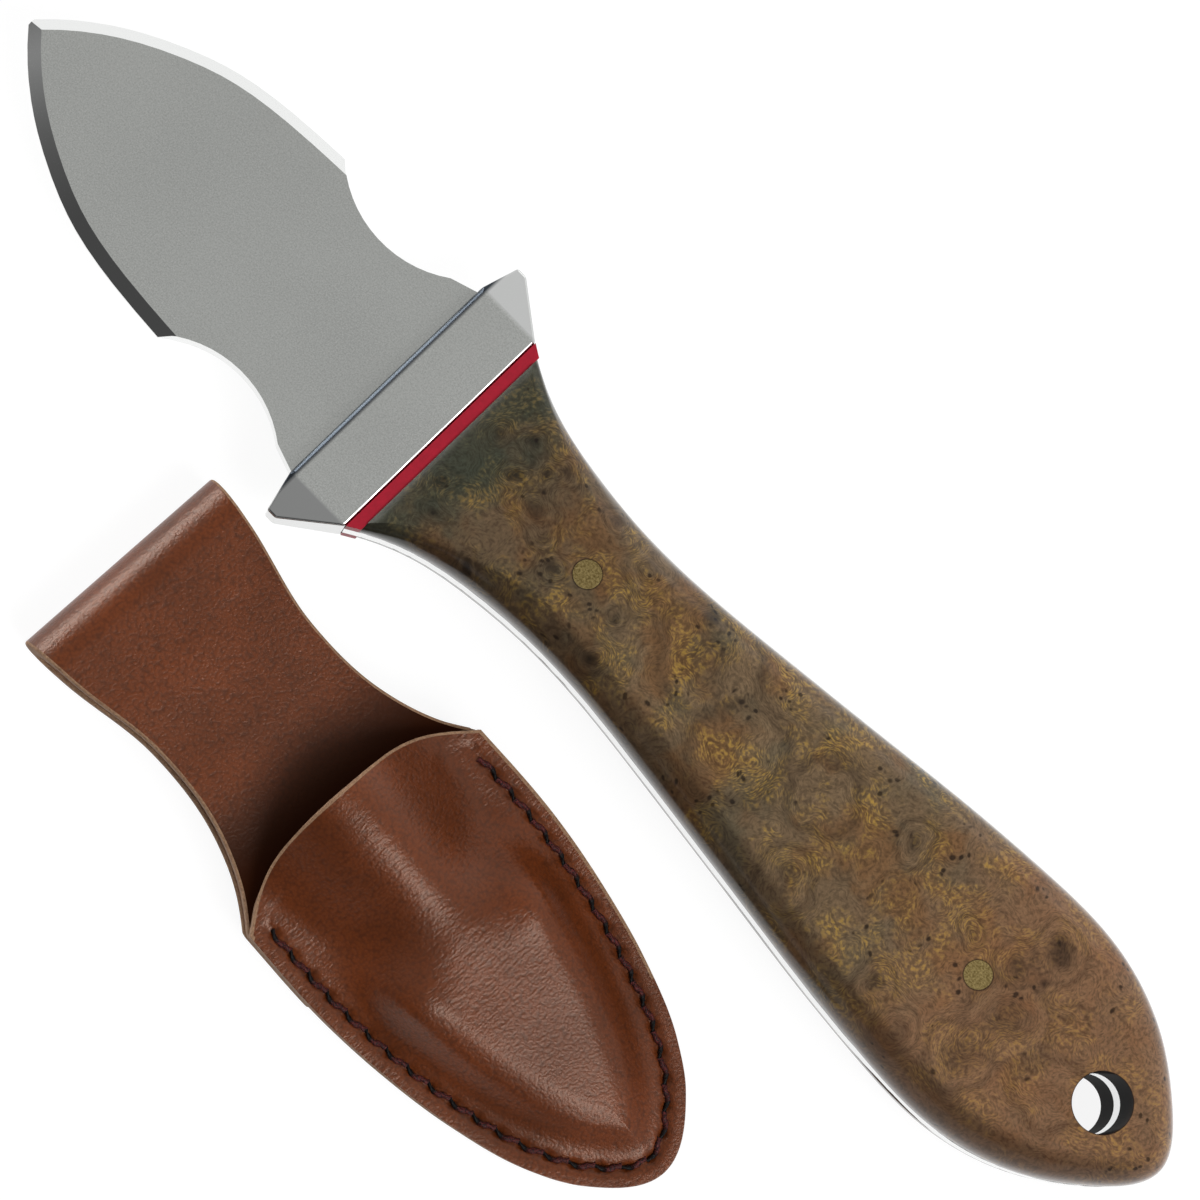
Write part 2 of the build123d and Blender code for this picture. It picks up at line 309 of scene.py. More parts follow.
@dataclass(frozen=True)
class Studio:
    """The white table, the light round it and the camera that looks down on it.

    The camera stands above the sheath and looks down at about 80 degrees, turned so that the
    knife runs from the picture's upper left to its lower right.
    """

    camera_place: Point = (-34.4, -91.9, 564.5)
    camera_target: Point = (-29.69, 0.41, 8.0)
    picture_right: Point = (0.6938, 0.7201, 0.0)
    lens: float = 165.1
    sensor: float = 36.0
    clip: Pair = (10.0, 100000.0)
    table_half_width: float = 6000.0
    beyond_tip: Window = Window((-0.971, 0.06, 0.23), 0.965, 0.99, 16.0)
    beyond_butt: Window = Window((0.66, -0.05, 0.75), 0.94, 0.99, 9.5)
    far_side: Window = Window((0.0, 0.985, 0.17), 0.94, 0.99, 1.2)
    overhead_light: float = 0.41
    far_light: float = 0.6
    near_shade: float = 0.34
    tip_shade: float = 0.36

    def add_camera(self) -> None:
        """Place the camera with its right-hand side along the picture's."""
        place, target = metres(*self.camera_place), metres(*self.camera_target)
        back = (place - target).normalized()
        right = Vector(self.picture_right)
        right = (right - back * right.dot(back)).normalized()
        axes = Matrix((right, back.cross(right), back)).transposed()
        data = bpy.data.cameras.new("camera")
        data.lens = self.lens
        data.sensor_width = self.sensor
        data.clip_start, data.clip_end = (reach * MM for reach in self.clip)
        camera = bpy.data.objects.new("camera", data)
        camera.matrix_world = Matrix.Translation(place) @ axes.to_4x4()
        bpy.context.scene.collection.objects.link(camera)
        bpy.context.scene.camera = camera

    def seen_directly(self, bench: Bench) -> Socket:
        """Tell the rays that show the background from those that light the object.

        Args:
            bench: where the material is put together.

        Returns:
            1 for the camera's, mirrored and refracted rays, and 0 for the rest.
        """
        seen = bench.add("LightPath", output="Is Camera Ray")
        for ray in ("Is Glossy Ray", "Is Transmission Ray"):
            other = bench.add("LightPath", output=ray)
            seen = bench.add("Math", {0: seen, 1: other}, operation="MAXIMUM")
        return seen

    def add_table(self) -> None:
        """Lay a white table that keeps a faint shadow of the object."""
        material, bench = new_material("white_table")
        paint = bench.add("BsdfDiffuse", {"Color": "#e8e8e8"})
        glow = bench.add("Emission", {"Color": "#ffffff", "Strength": 0.9})
        faint = bench.add("BsdfDiffuse", {"Color": "#6a6a6a"})
        white = bench.add("AddShader", {0: glow, 1: faint})
        shade = bench.add("MixShader", {0: self.seen_directly(bench), 1: paint, 2: white})
        bench.add("OutputMaterial", {"Surface": shade})
        mesh = bpy.data.meshes.new("table")
        shape = bmesh.new()
        bmesh.ops.create_grid(shape, x_segments=1, y_segments=1, size=self.table_half_width * MM)
        shape.to_mesh(mesh)
        shape.free()
        mesh.materials.append(material)
        table = bpy.data.objects.new("table", mesh)
        bpy.context.scene.collection.objects.link(table)

    def add_daylight(self) -> None:
        """Surround the table with soft light that is brighter on some sides than on others.

        The overhead light is moderate, the side past the knife (+Y) is bright, and the side
        behind the sheath (-Y) is dark near the table, which polished edges show. One window
        stands low beyond the tip of the knife, one high beyond its butt, and one low on the
        far side.
        """
        world = bpy.data.worlds.new("studio")
        bpy.context.scene.world = world
        world.use_nodes = True
        bench = Bench(world.node_tree)
        direction = bench.add("TexCoord", output="Generated")
        across = bench.add("SeparateXYZ", {0: direction}, output="Y")
        along = bench.add("SeparateXYZ", {0: direction}, output="X")
        # what is read, where the light starts and where it is full, and how much it adds
        parts = [
            (across, 0.25, 0.85, self.far_light),
            (across, -0.3, -0.9, -self.near_shade),
            (along, -0.8, -0.96, -self.tip_shade),
        ]
        for window in (self.beyond_tip, self.beyond_butt, self.far_side):
            inputs = {0: direction, 1: window.toward}
            near = bench.add("VectorMath", inputs, output="Value", operation="DOT_PRODUCT")
            parts.append((near, window.edge, window.heart, window.gain))
        level = self.overhead_light
        for value, low, high, gain in parts:
            part = bench.add("MapRange", {0: value, 1: low, 2: high, 3: 0.0, 4: gain}, **SMOOTH)
            level = bench.add("Math", {0: level, 1: part}, operation="ADD")
        seen = bench.add("LightPath", output="Is Camera Ray")
        level = bench.add("Mix", {0: seen, 2: level, 3: 1.0}, **NUMBERS)
        sky = bench.add("Background", {"Color": "#ffffff", "Strength": level})
        bench.add("OutputWorld", {"Surface": sky})

    def build(self) -> None:
        """Set the colour handling and add everything round the object."""
        bpy.context.scene.view_settings.view_transform = "Standard"
        self.add_camera()
        self.add_table()
        self.add_daylight()
        LOG.info("studio: camera, table and light")


def add_piece(
    name: str,
    shape: bmesh.types.BMesh,
    finishes: Sequence[bpy.types.Material],
    body: Body,
    replaced: Sequence[str] = (),
) -> bpy.types.Object:
    """Turn a finished shape into a piece that rides on a body.

    Args:
        name: the piece's name.
        shape: its mesh in metres, which is used up.
        finishes: materials in the order that its faces number them.
        body: what it rides on.
        replaced: nodes of the frame that it stands for.

    Returns:
        The new object.
    """
    for face in shape.faces:
        face.smooth = True
    mesh = bpy.data.meshes.new(name)
    shape.to_mesh(mesh)
    shape.free()
    for finish in finishes:
        mesh.materials.append(finish)
    piece = bpy.data.objects.new(name, mesh)
    bpy.context.scene.collection.objects.link(piece)
    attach(piece, body.value)
    if replaced:
        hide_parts(*replaced)
    LOG.info("%s: %d faces on %s", name, len(mesh.polygons), body.value)
    return piece


@dataclass(frozen=True)
class Steel:
    """Stainless blade steel: satin on its level faces, polished where it slopes or stands.

    The satin face is an even grey with a fine grain, and the polished one mirrors the studio.
    The grain is drawn about three times as coarse as the real finish, so that it shows.

    Args:
        name: which piece's steel it is.
        grain: width of a grain in millimetres.
        drift: width of a faintly lighter or darker area.
        painted_shade_end: X in millimetres up to which the steel is painted dark grey, a painted shade
            standing in for a dark reflection, and made rougher, if any of it is.
    """

    name: str
    satin: str = "#dcdeda"
    polished: str = "#e6e7e6"
    satin_roughness: float = 0.24
    polished_roughness: float = 0.1
    grain: float = 0.17
    drift: float = 14.0
    dull: str = "#3a3f45"
    dull_roughness: float = 0.36
    painted_shade_end: float | None = None

    def build(self) -> bpy.types.Material:
        """Make the steel.

        Returns:
            The material.
        """
        material, bench = new_material(self.name)
        place = bench.add("TexCoord", output="Object")
        facing = bench.add("TexCoord", output="Normal")
        upward = bench.add("SeparateXYZ", {0: facing}, output="Z")
        upward = bench.add("Math", {0: upward}, operation="ABSOLUTE")
        level = bench.add("MapRange", {0: upward, 1: 0.975, 2: 0.995})
        speck = bench.add("TexNoise", {"Vector": place, "Scale": 1 / (self.grain * MM), "Detail": 2.0})
        cloud = bench.add("TexNoise", {"Vector": place, "Scale": 1 / (self.drift * MM), "Detail": 2.0})
        tone = bench.add("MapRange", {0: speck, 1: 0.25, 2: 0.75, 3: 0.82, 4: 1.12})
        drift = bench.add("MapRange", {0: cloud, 1: 0.3, 2: 0.7, 3: 0.97, 4: 1.03})
        tone = bench.add("Math", {0: tone, 1: drift}, operation="MULTIPLY")
        satin = bench.add("VectorMath", {0: linear(self.satin)[:3], "Scale": tone}, operation="SCALE")
        colour = bench.add("Mix", {0: level, 6: self.polished, 7: satin}, **COLOURS)
        rough = bench.add("Mix", {0: level, 2: self.polished_roughness, 3: self.satin_roughness}, **NUMBERS)
        # painted shade: the steel up to this X is painted dark grey in place of a dark reflection
        if self.painted_shade_end is not None:
            station = bench.add("SeparateXYZ", {0: place}, output="X")
            span = {1: (self.painted_shade_end - 0.25) * MM, 2: (self.painted_shade_end + 0.15) * MM}
            dull = bench.add("MapRange", {0: station, 3: 1.0, 4: 0.0} | span)
            colour = bench.add("Mix", {0: dull, 6: colour, 7: self.dull}, **COLOURS)
            rough = bench.add("Mix", {0: dull, 2: rough, 3: self.dull_roughness}, **NUMBERS)
        shade = bench.add("BsdfPrincipled", {"Base Color": colour, "Roughness": rough, "Metallic": 1.0})
        bench.add("OutputMaterial", {"Surface": shade})
        return material


@dataclass(frozen=True)
class Brass:
    """Brass rod ground flush with the wood: olive gold with brighter and duller patches."""

    bright: str = "#a89563"
    dull: str = "#655430"
    fleck: float = 0.25

    def build(self) -> bpy.types.Material:
        """Make the brass.

        Returns:
            The material.
        """
        material, bench = new_material("ground_brass")
        place = bench.add("TexCoord", output="Object")
        inputs = {"Vector": place, "Scale": 1 / (self.fleck * MM), "Detail": 4.0, "Roughness": 0.7}
        share = bench.add("MapRange", {0: bench.add("TexNoise", inputs), 1: 0.36, 2: 0.66})
        colour = bench.add("Mix", {0: share, 6: self.dull, 7: self.bright}, **COLOURS)
        shade = bench.add("BsdfPrincipled", {"Base Color": colour, "Metallic": 1.0, "Roughness": 0.4})
        bench.add("OutputMaterial", {"Surface": shade})
        return material


@dataclass(frozen=True)
class RedFibre:
    """Vulcanised fibre, dyed crimson through and through, with a dull shine."""

    crimson: str = "#a40f28"
    dark: str = "#860b20"
    fleck: float = 0.5

    def build(self) -> bpy.types.Material:
        """Make the fibre.

        Returns:
            The material.
        """
        material, bench = new_material("crimson_vulcanised_fibre")
        place = bench.add("TexCoord", output="Object")
        fleck = bench.add("TexNoise", {"Vector": place, "Scale": 1 / (self.fleck * MM), "Detail": 4.0})
        colour = bench.add("Mix", {0: fleck, 6: self.dark, 7: self.crimson}, **COLOURS)
        inputs = {"Base Color": colour, "Roughness": 0.45, "Specular IOR Level": 0.25}
        shade = bench.add("BsdfPrincipled", inputs)
        bench.add("OutputMaterial", {"Surface": shade})
        return material


@dataclass(frozen=True)
class Knot:
    """One knot of the burl, round which its grain runs in rings.

    Args:
        x: place along the knife in millimetres.
        y: place across it.
        radius: how far its rings reach.
        rings: how many there are, roughly.
        dark: how dark its heart is, from 0 to 1.
    """

    x: float
    y: float
    radius: float
    rings: float
    dark: float


KNOT_ROWS = (
    (-45.8, 5.9, 1.6, 2, 0.8), (-44.8, 1.7, 1.7, 3, 0.9), (-42.8, 4.4, 1.9, 3, 0.7),
    (-41.0, 5.9, 1.5, 2, 0.8), (-43.2, -0.8, 1.2, 2, 0.3), (-40.8, 1.0, 2.1, 4, 0.7),
    (-49.4, -3.7, 1.8, 2, 0.7), (-48.6, 4.2, 1.6, 2, 0.6), (-41.9, -7.8, 1.6, 1, 1.0),
    (-47.9, -6.5, 1.5, 2, 0.7), (-34.6, 6.4, 1.5, 2, 0.7), (-35.6, -2.4, 1.9, 3, 0.9),
    (-38.4, -0.5, 1.6, 3, 0.6), (-28.4, 4.8, 3.0, 5, 0.3), (-26.2, 1.8, 1.6, 3, 0.2),
    (-27.5, -1.0, 1.3, 2, 0.7), (-26.5, -5.2, 2.0, 2, 1.0), (-20.6, 6.4, 1.8, 2, 0.9),
    (-18.0, 3.2, 6.0, 5, 0.3), (3.5, -7.3, 3.4, 5, 0.5), (10.0, 4.7, 2.6, 4, 0.7),
    (0.5, 1.5, 4.0, 4, 0.1), (17.2, -7.6, 2.4, 3, 0.8), (21.0, 2.6, 1.6, 3, 0.4),
    (22.2, -9.7, 2.4, 4, 0.5), (28.6, -7.3, 3.6, 5, 0.5), (29.6, -1.0, 5.0, 8, 0.5),
    (34.1, 3.6, 1.9, 2, 0.5), (28.4, 7.6, 3.0, 4, 0.9), (26.3, 3.7, 2.4, 4, 0.6),
    (29.4, 4.6, 1.4, 2, 0.9), (-9.0, -2.0, 5.5, 3, 0.0), (38.0, -3.5, 4.0, 3, 0.2),
)
KNOTS = tuple(Knot(*row) for row in KNOT_ROWS)


@dataclass(frozen=True)
class BurlWood:
    """Stabilised, buffed burl: gold strands, partly the figure's own colour and partly a painted chatoyant
    sheen, and brown grain that curl round dark knots.

    It is greenish black by the guard, olive gold in the middle and redder at the butt. The
    resin in it gives a thin, even gloss. Sizes are in millimetres, and the strands are drawn
    several times as wide as real fibres, so that they show.

    Args:
        warp: size of the waves that bend the patterns.
        warp_reach: how strongly they shift them.
        bends: size of the grain's broad bends.
        bend_turns: how strongly they turn it.
        curls: size of its small curls.
        curl_turns: how strongly they turn it.
        strand_turns: how many strands one step of the grain holds.
        rim_shares: where the rim round a knot starts, is darkest and ends, in shares of its radius.
        zone_waver: how far a colour zone's end wanders.
        pore_patch: size of the places where pores crowd together.
        tang_level: height of the middle of the tang.
    """

    light: str = "#806a50"
    dark: str = "#5f4d39"
    rust: str = "#74502f"
    gold: str = "#a5843f"
    smoke: str = "#5a5544"
    butt: str = "#96684a"
    green: str = "#3c4438"
    black: str = "#17110f"
    warp: float = 5.0
    warp_reach: float = 3.2
    bends: float = 12.0
    bend_turns: float = 5.0
    curls: float = 3.2
    curl_turns: float = 1.9
    strand: float = 0.55
    strand_turns: float = 11.0
    speck: float = 0.3
    rust_patch: float = 6.0
    smoke_patch: float = 8.3
    silk_patch: float = 5.2
    zone_patch: float = 5.5
    zone_waver: float = 16.0
    rim_shares: Point = (0.7, 0.92, 1.2)
    pore: float = 1.1
    pore_patch: float = 4.2
    tang_level: float = 8.0
    tang_half: float = 1.5
    pins: tuple[float, ...] = (-32.5, 24.1)
    pin_radius: float = 1.5
    lanyard: float = 42.2
    lanyard_radius: float = 3.2

    def grain(self, bench: Bench, place: Socket, bent: Socket) -> tuple[Socket, Socket, Socket]:
        """Lay out the grain, which flows through the wood and runs in rings round its knots.

        Args:
            bench: where the material is put together.
            place: place in millimetres.
            bent: the same place, warped.

        Returns:
            The grain's own coordinate, the knots' dark hearts and the rims of their rings.
        """
        flat = bench.add("VectorMath", {0: bent, 1: (1.0, 1.0, 0.0)}, operation="MULTIPLY")
        inputs = {"Vector": bent, "Scale": 1 / self.bends, "Detail": 1.0, "Roughness": 0.4}
        flow = bench.add("TexNoise", inputs)
        flow = bench.add("Math", {0: flow, 1: self.bend_turns}, operation="MULTIPLY")
        inputs |= {"Vector": place, "Scale": 1 / self.curls}
        swirl = bench.add("TexNoise", inputs)
        swirl = bench.add("Math", {0: swirl, 1: self.curl_turns}, operation="MULTIPLY")
        flow = bench.add("Math", {0: flow, 1: swirl}, operation="ADD")
        heart = 0.0
        rims = 0.0
        for knot in KNOTS:
            reach = bench.add("VectorMath", {0: flat, 1: (knot.x, knot.y, 0.0)}, **DISTANCE)
            inner, crest, outer = (share * knot.radius for share in self.rim_shares)
            inputs = {0: reach, 1: 0.0, 2: knot.radius * 1.5, 3: knot.rings * 0.5, 4: 0.0}
            rings = bench.add("MapRange", inputs, **SMOOTH)
            flow = bench.add("Math", {0: flow, 1: rings}, operation="ADD")
            inputs = {0: reach, 1: 0.1 * knot.radius, 2: 0.75 * knot.radius, 3: knot.dark, 4: 0.0}
            core = bench.add("MapRange", inputs, **SMOOTH)
            heart = bench.add("Math", {0: heart, 1: core}, operation="MAXIMUM")
            rise = bench.add("MapRange", {0: reach, 1: inner, 2: crest}, **SMOOTH)
            fall = bench.add("MapRange", {0: reach, 1: crest, 2: outer, 3: 1.0, 4: 0.0}, **SMOOTH)
            rim = bench.add("Math", {0: rise, 1: fall}, operation="MULTIPLY")
            rims = bench.add("Math", {0: rims, 1: rim}, operation="MAXIMUM")
        return flow, heart, rims

    def zone_coordinate(self, bench: Bench, place: Socket, bent: Socket) -> Socket:
        """Find a place along the knife that wavers, so that colour zones have cloudy ends.

        Args:
            bench: where the material is put together.
            place: place in millimetres.
            bent: the same place, warped.

        Returns:
            X in millimetres, less the waver, which is about 8 mm on average.
        """
        along = bench.add("SeparateXYZ", {0: bent}, output="X")
        inputs = {"Vector": place, "Scale": 1 / self.zone_patch, "Detail": 3.0, "Roughness": 0.5}
        edge = bench.add("Math", {0: bench.add("TexNoise", inputs), 1: self.zone_waver}, operation="MULTIPLY")
        return bench.add("Math", {0: along, 1: edge}, operation="SUBTRACT")

    def joints(self, bench: Bench, place: Socket) -> tuple[Socket, Socket]:
        """Find where the wood meets steel and brass.

        Args:
            bench: where the material is put together.
            place: place in millimetres.

        Returns:
            The glue line along the tang with the ring round each pin, and the lanyard hole's wall, which is
            given a painted shade.
        """
        height = bench.add("SeparateXYZ", {0: place}, output="Z")
        height = bench.add("Math", {0: height, 1: self.tang_level}, operation="SUBTRACT")
        height = bench.add("Math", {0: height}, operation="ABSOLUTE")
        inputs = {0: height, 1: self.tang_half + 0.05, 2: self.tang_half + 0.3, 3: 0.7, 4: 0.0}
        dark = bench.add("MapRange", inputs, **SMOOTH)
        flat = bench.add("VectorMath", {0: place, 1: (1.0, 1.0, 0.0)}, operation="MULTIPLY")
        for pin in self.pins:
            reach = bench.add("VectorMath", {0: flat, 1: (pin, 0.0, 0.0)}, **DISTANCE)
            inputs = {0: reach, 1: self.pin_radius, 2: self.pin_radius + 0.22, 3: 0.85, 4: 0.0}
            ring = bench.add("MapRange", inputs, **SMOOTH)
            dark = bench.add("Math", {0: dark, 1: ring}, operation="MAXIMUM")
        reach = bench.add("VectorMath", {0: flat, 1: (self.lanyard, 0.0, 0.0)}, **DISTANCE)
        inputs = {0: reach, 1: self.lanyard_radius + 0.02, 2: self.lanyard_radius + 0.12, 3: 0.92, 4: 0.0}
        return dark, bench.add("MapRange", inputs, **SMOOTH)

    def build(self) -> bpy.types.Material:
        """Make the wood.

        Returns:
            The material.
        """
        material, bench = new_material("stabilised_burl")
        metric = bench.add("TexCoord", output="Object")
        place = bench.add("VectorMath", {0: metric, "Scale": 1 / MM}, operation="SCALE")
        warp = bench.add("TexNoise", {"Vector": place, "Scale": 1 / self.warp, "Detail": 1.5}, output="Color")
        warp = bench.add("VectorMath", {0: warp, 1: (0.5, 0.5, 0.5)}, operation="SUBTRACT")
        warp = bench.add("VectorMath", {0: warp, "Scale": self.warp_reach}, operation="SCALE")
        bent = bench.add("VectorMath", {0: place, 1: warp}, operation="ADD")
        flow, heart, rims = self.grain(bench, place, bent)
        along = self.zone_coordinate(bench, place, bent)
        inputs = {"W": flow, "Scale": 1.0, "Detail": 3.0, "Roughness": 0.6}
        bands = bench.add("TexNoise", inputs, noise_dimensions="1D")
        lanes = bench.add("VectorMath", {0: place, "Scale": 1 / self.strand}, operation="SCALE")
        run = bench.add("Math", {0: flow, 1: self.strand_turns}, operation="MULTIPLY")
        run = bench.add("CombineXYZ", {"Z": run})
        lanes = bench.add("VectorMath", {0: lanes, 1: run}, operation="ADD")
        # where a cloud is read, the size of its patches, its detail and its roughness
        clouds = (
            (lanes, 1.0, 2.0, 0.5),
            (place, self.speck, 3.0, 0.6),
            (bent, self.rust_patch, 3.0, 0.5),
            (bent, self.smoke_patch, 3.0, 0.5),
            (bent, self.silk_patch, 4.0, 0.6),
            (place, self.pore_patch, 1.0, 0.5),
        )
        strands, fine, warm, grey, gold_and_painted_sheen, crowd = (
            bench.add("TexNoise", {"Vector": where, "Scale": 1 / size, "Detail": detail, "Roughness": rough})
            for where, size, detail, rough in clouds
        )
        cell = bench.add("TexVoronoi", {"Vector": bent, "Scale": 1 / self.pore, "Randomness": 1.0})
        facing = bench.add("TexCoord", output="Normal")
        facing = bench.add("SeparateXYZ", {0: facing}, output="Y")
        # what is read, the ends of its span, and the share at each of them
        spans = (
            (bands, 0.2, 0.8, 0.0, 1.0),
            (warm, 0.44, 0.62, 0.0, 0.6),
            (grey, 0.48, 0.66, 0.0, 0.6),
            (along, -57.5, -49.5, 0.86, 0.0),
            (gold_and_painted_sheen, 0.45, 0.62, 0.0, 1.0),
            (along, -60.0, -48.0, 0.3, 1.0),
            (strands, 0.46, 0.72, 0.1, 1.0),
            (along, -50.0, -30.0, 0.24, 0.0),
            (along, 0.0, 22.0, 0.0, 0.42),
            (strands, 0.3, 0.6, 0.42, 0.0),
            (cell, 0.14, 0.34, 1.0, 0.0),
            (crowd, 0.57, 0.63, 0.0, 1.0),
            (fine, 0.3, 0.7, 0.0, 0.24),
            # painted shade: darker where the surface turns towards -Y
            (facing, -0.24, -0.6, 0.0, 0.45),
        )
        bands, warm, grey, near_guard, gold_and_painted_sheen, clear, hair, deep, red, shadow, pores, crowd, mottle, painted_flank_shade = (
            bench.add("MapRange", {0: value, 1: low, 2: high, 3: first, 4: last}, **SMOOTH)
            for value, low, high, first, last in spans
        )
        # the gold strands are partly the burl's own figure and partly a painted chatoyant sheen
        for factor in (clear, hair, 0.85):
            gold_and_painted_sheen = bench.add("Math", {0: gold_and_painted_sheen, 1: factor}, operation="MULTIPLY")
        marks = [
            bench.add("Math", {0: value, 1: share}, operation="MULTIPLY")
            for value, share in ((heart, 0.75), (rims, 0.3))
        ]
        marks = bench.add("Math", dict(enumerate(marks)), operation="MAXIMUM")
        crowd = bench.add("Math", {0: crowd, 1: heart}, operation="MAXIMUM")
        pores = bench.add("Math", {0: pores, 1: crowd}, operation="MULTIPLY")
        pits = bench.add("Math", {0: pores, 1: 0.8}, operation="MULTIPLY")
        joints, bore = self.joints(bench, place)
        # from the bottom up
        layers = (
            (bands, self.light),
            (warm, self.rust),
            (grey, self.smoke),
            (near_guard, self.green),
            # gold strands: own colour with a painted sheen
            (gold_and_painted_sheen, self.gold),
            (deep, self.black),
            (red, self.butt),
            (shadow, self.black),
            (marks, self.black),
            (pits, self.black),
            (mottle, self.black),
            # painted shade on the side turned towards -Y
            (painted_flank_shade, self.black),
            (joints, self.black),
        )
        colour = self.dark
        for share, tint in layers:
            colour = bench.add("Mix", {0: share, 6: colour, 7: tint}, **COLOURS)
        relief = bench.add("Math", {0: strands, 1: pores}, operation="SUBTRACT")
        normal = bench.add("Bump", {"Height": relief, "Strength": 0.12, "Distance": 0.06 * MM})
        inputs = {"Base Color": colour, "Roughness": 0.28, "Normal": normal, "Specular IOR Level": 0.05}
        inputs |= {"Coat Weight": 1.0, "Coat IOR": 1.15, "Coat Roughness": 0.1}
        shade = bench.add("BsdfPrincipled", inputs)
        # painted shade: the lanyard hole's wall is a dark matte diffuse standing in for the shadow in the
        # bore
        painted_bore_shade = bench.add("BsdfDiffuse", {"Color": self.black})
        shade = bench.add("MixShader", {0: bore, 1: shade, 2: painted_bore_shade})
        bench.add("OutputMaterial", {"Surface": shade})
        return material


@dataclass(frozen=True)
class Guard:
    """The guard: a steel block whose wings fall and narrow to their tips, with eased edges."""

    front: float = -61.0
    rear: float = -53.1
    half_width: float = 13.6
    half_span: float = 18.0
    level: float = 8.0
    thickness: float = 7.4
    wing_slope: float = 16.0
    wing_sweep: float = 1.1
    wing_tip: float = 1.2
    easing: float = 0.75
    rear_share: float = 0.6
    wing_share: float = 0.35

    def build(self, finish: bpy.types.Material) -> None:
        """Make the guard.

        Args:
            finish: its steel.
        """
        shape = bmesh.new()
        half = self.thickness / 2
        low = half - (self.half_span - self.half_width) * math.tan(math.radians(self.wing_slope))
        tip = self.front + self.wing_sweep
        sections = (
            (self.half_width, self.front, self.rear, half),
            (self.half_span, tip, tip + self.wing_tip, low),
        )
        for across, front, rear, height in sections:
            for side in (-across, across):
                for up in (-height, height):
                    shape.verts.new(metres(front, side, self.level + up))
                    shape.verts.new(metres(rear, side, self.level + up))
        bmesh.ops.convex_hull(shape, input=shape.verts)
        bmesh.ops.dissolve_limit(shape, angle_limit=math.radians(1), verts=shape.verts, edges=shape.edges)
        weight = shape.edges.layers.float.new("bevel_weight_edge")
        for edge in shape.edges:
            ends = [vertex.co / MM for vertex in edge.verts]
            edge[weight] = self.wing_share
            # the long edges across the front and the rear are eased more
            for level, share in ((self.front, 1.0), (self.rear, self.rear_share)):
                if all(abs(end.x - level) < 0.1 for end in ends) and abs(ends[0].y - ends[1].y) > 1:
                    edge[weight] = share
        piece = add_piece("eased_guard", shape, [finish], Body.KNIFE, ["guard"])
        easing = piece.modifiers.new("easing", "BEVEL")
        easing.limit_method = "WEIGHT"
        easing.width = self.easing * MM
        easing.segments = 4
        easing.harden_normals = True


@dataclass(frozen=True)
class Knife:
    """The knife's own solids, each given the finish of what it is made of."""

    steel: tuple[str, ...] = ("blade_and_tang",)
    wood: tuple[str, ...] = ("scale_top", "scale_bottom")
    fibre: tuple[str, ...] = ("spacer_top", "spacer_bottom")
    brass: tuple[str, ...] = ("front_pin", "rear_pin")

    def finish(self, nodes: Iterable[str], material: bpy.types.Material) -> None:
        """Give nodes of the frame a finish.

        Args:
            nodes: their names.
            material: what they are made of.
        """
        for node in nodes:
            for slot in bpy.data.objects[node].material_slots:
                slot.material = material

    def build(self) -> None:
        """Finish every solid of the knife."""
        self.finish(self.steel, Steel("satin_blade_steel").build())
        # the guard's front easing carries a painted dark reflection
        Guard().build(Steel("satin_guard_steel", "#dee0dc", "#c6c7c6", painted_shade_end=-60.3).build())
        self.finish(self.wood, BurlWood().build())
        self.finish(self.fibre, RedFibre().build())
        self.finish(self.brass, Brass().build())
        LOG.info("knife: finished")


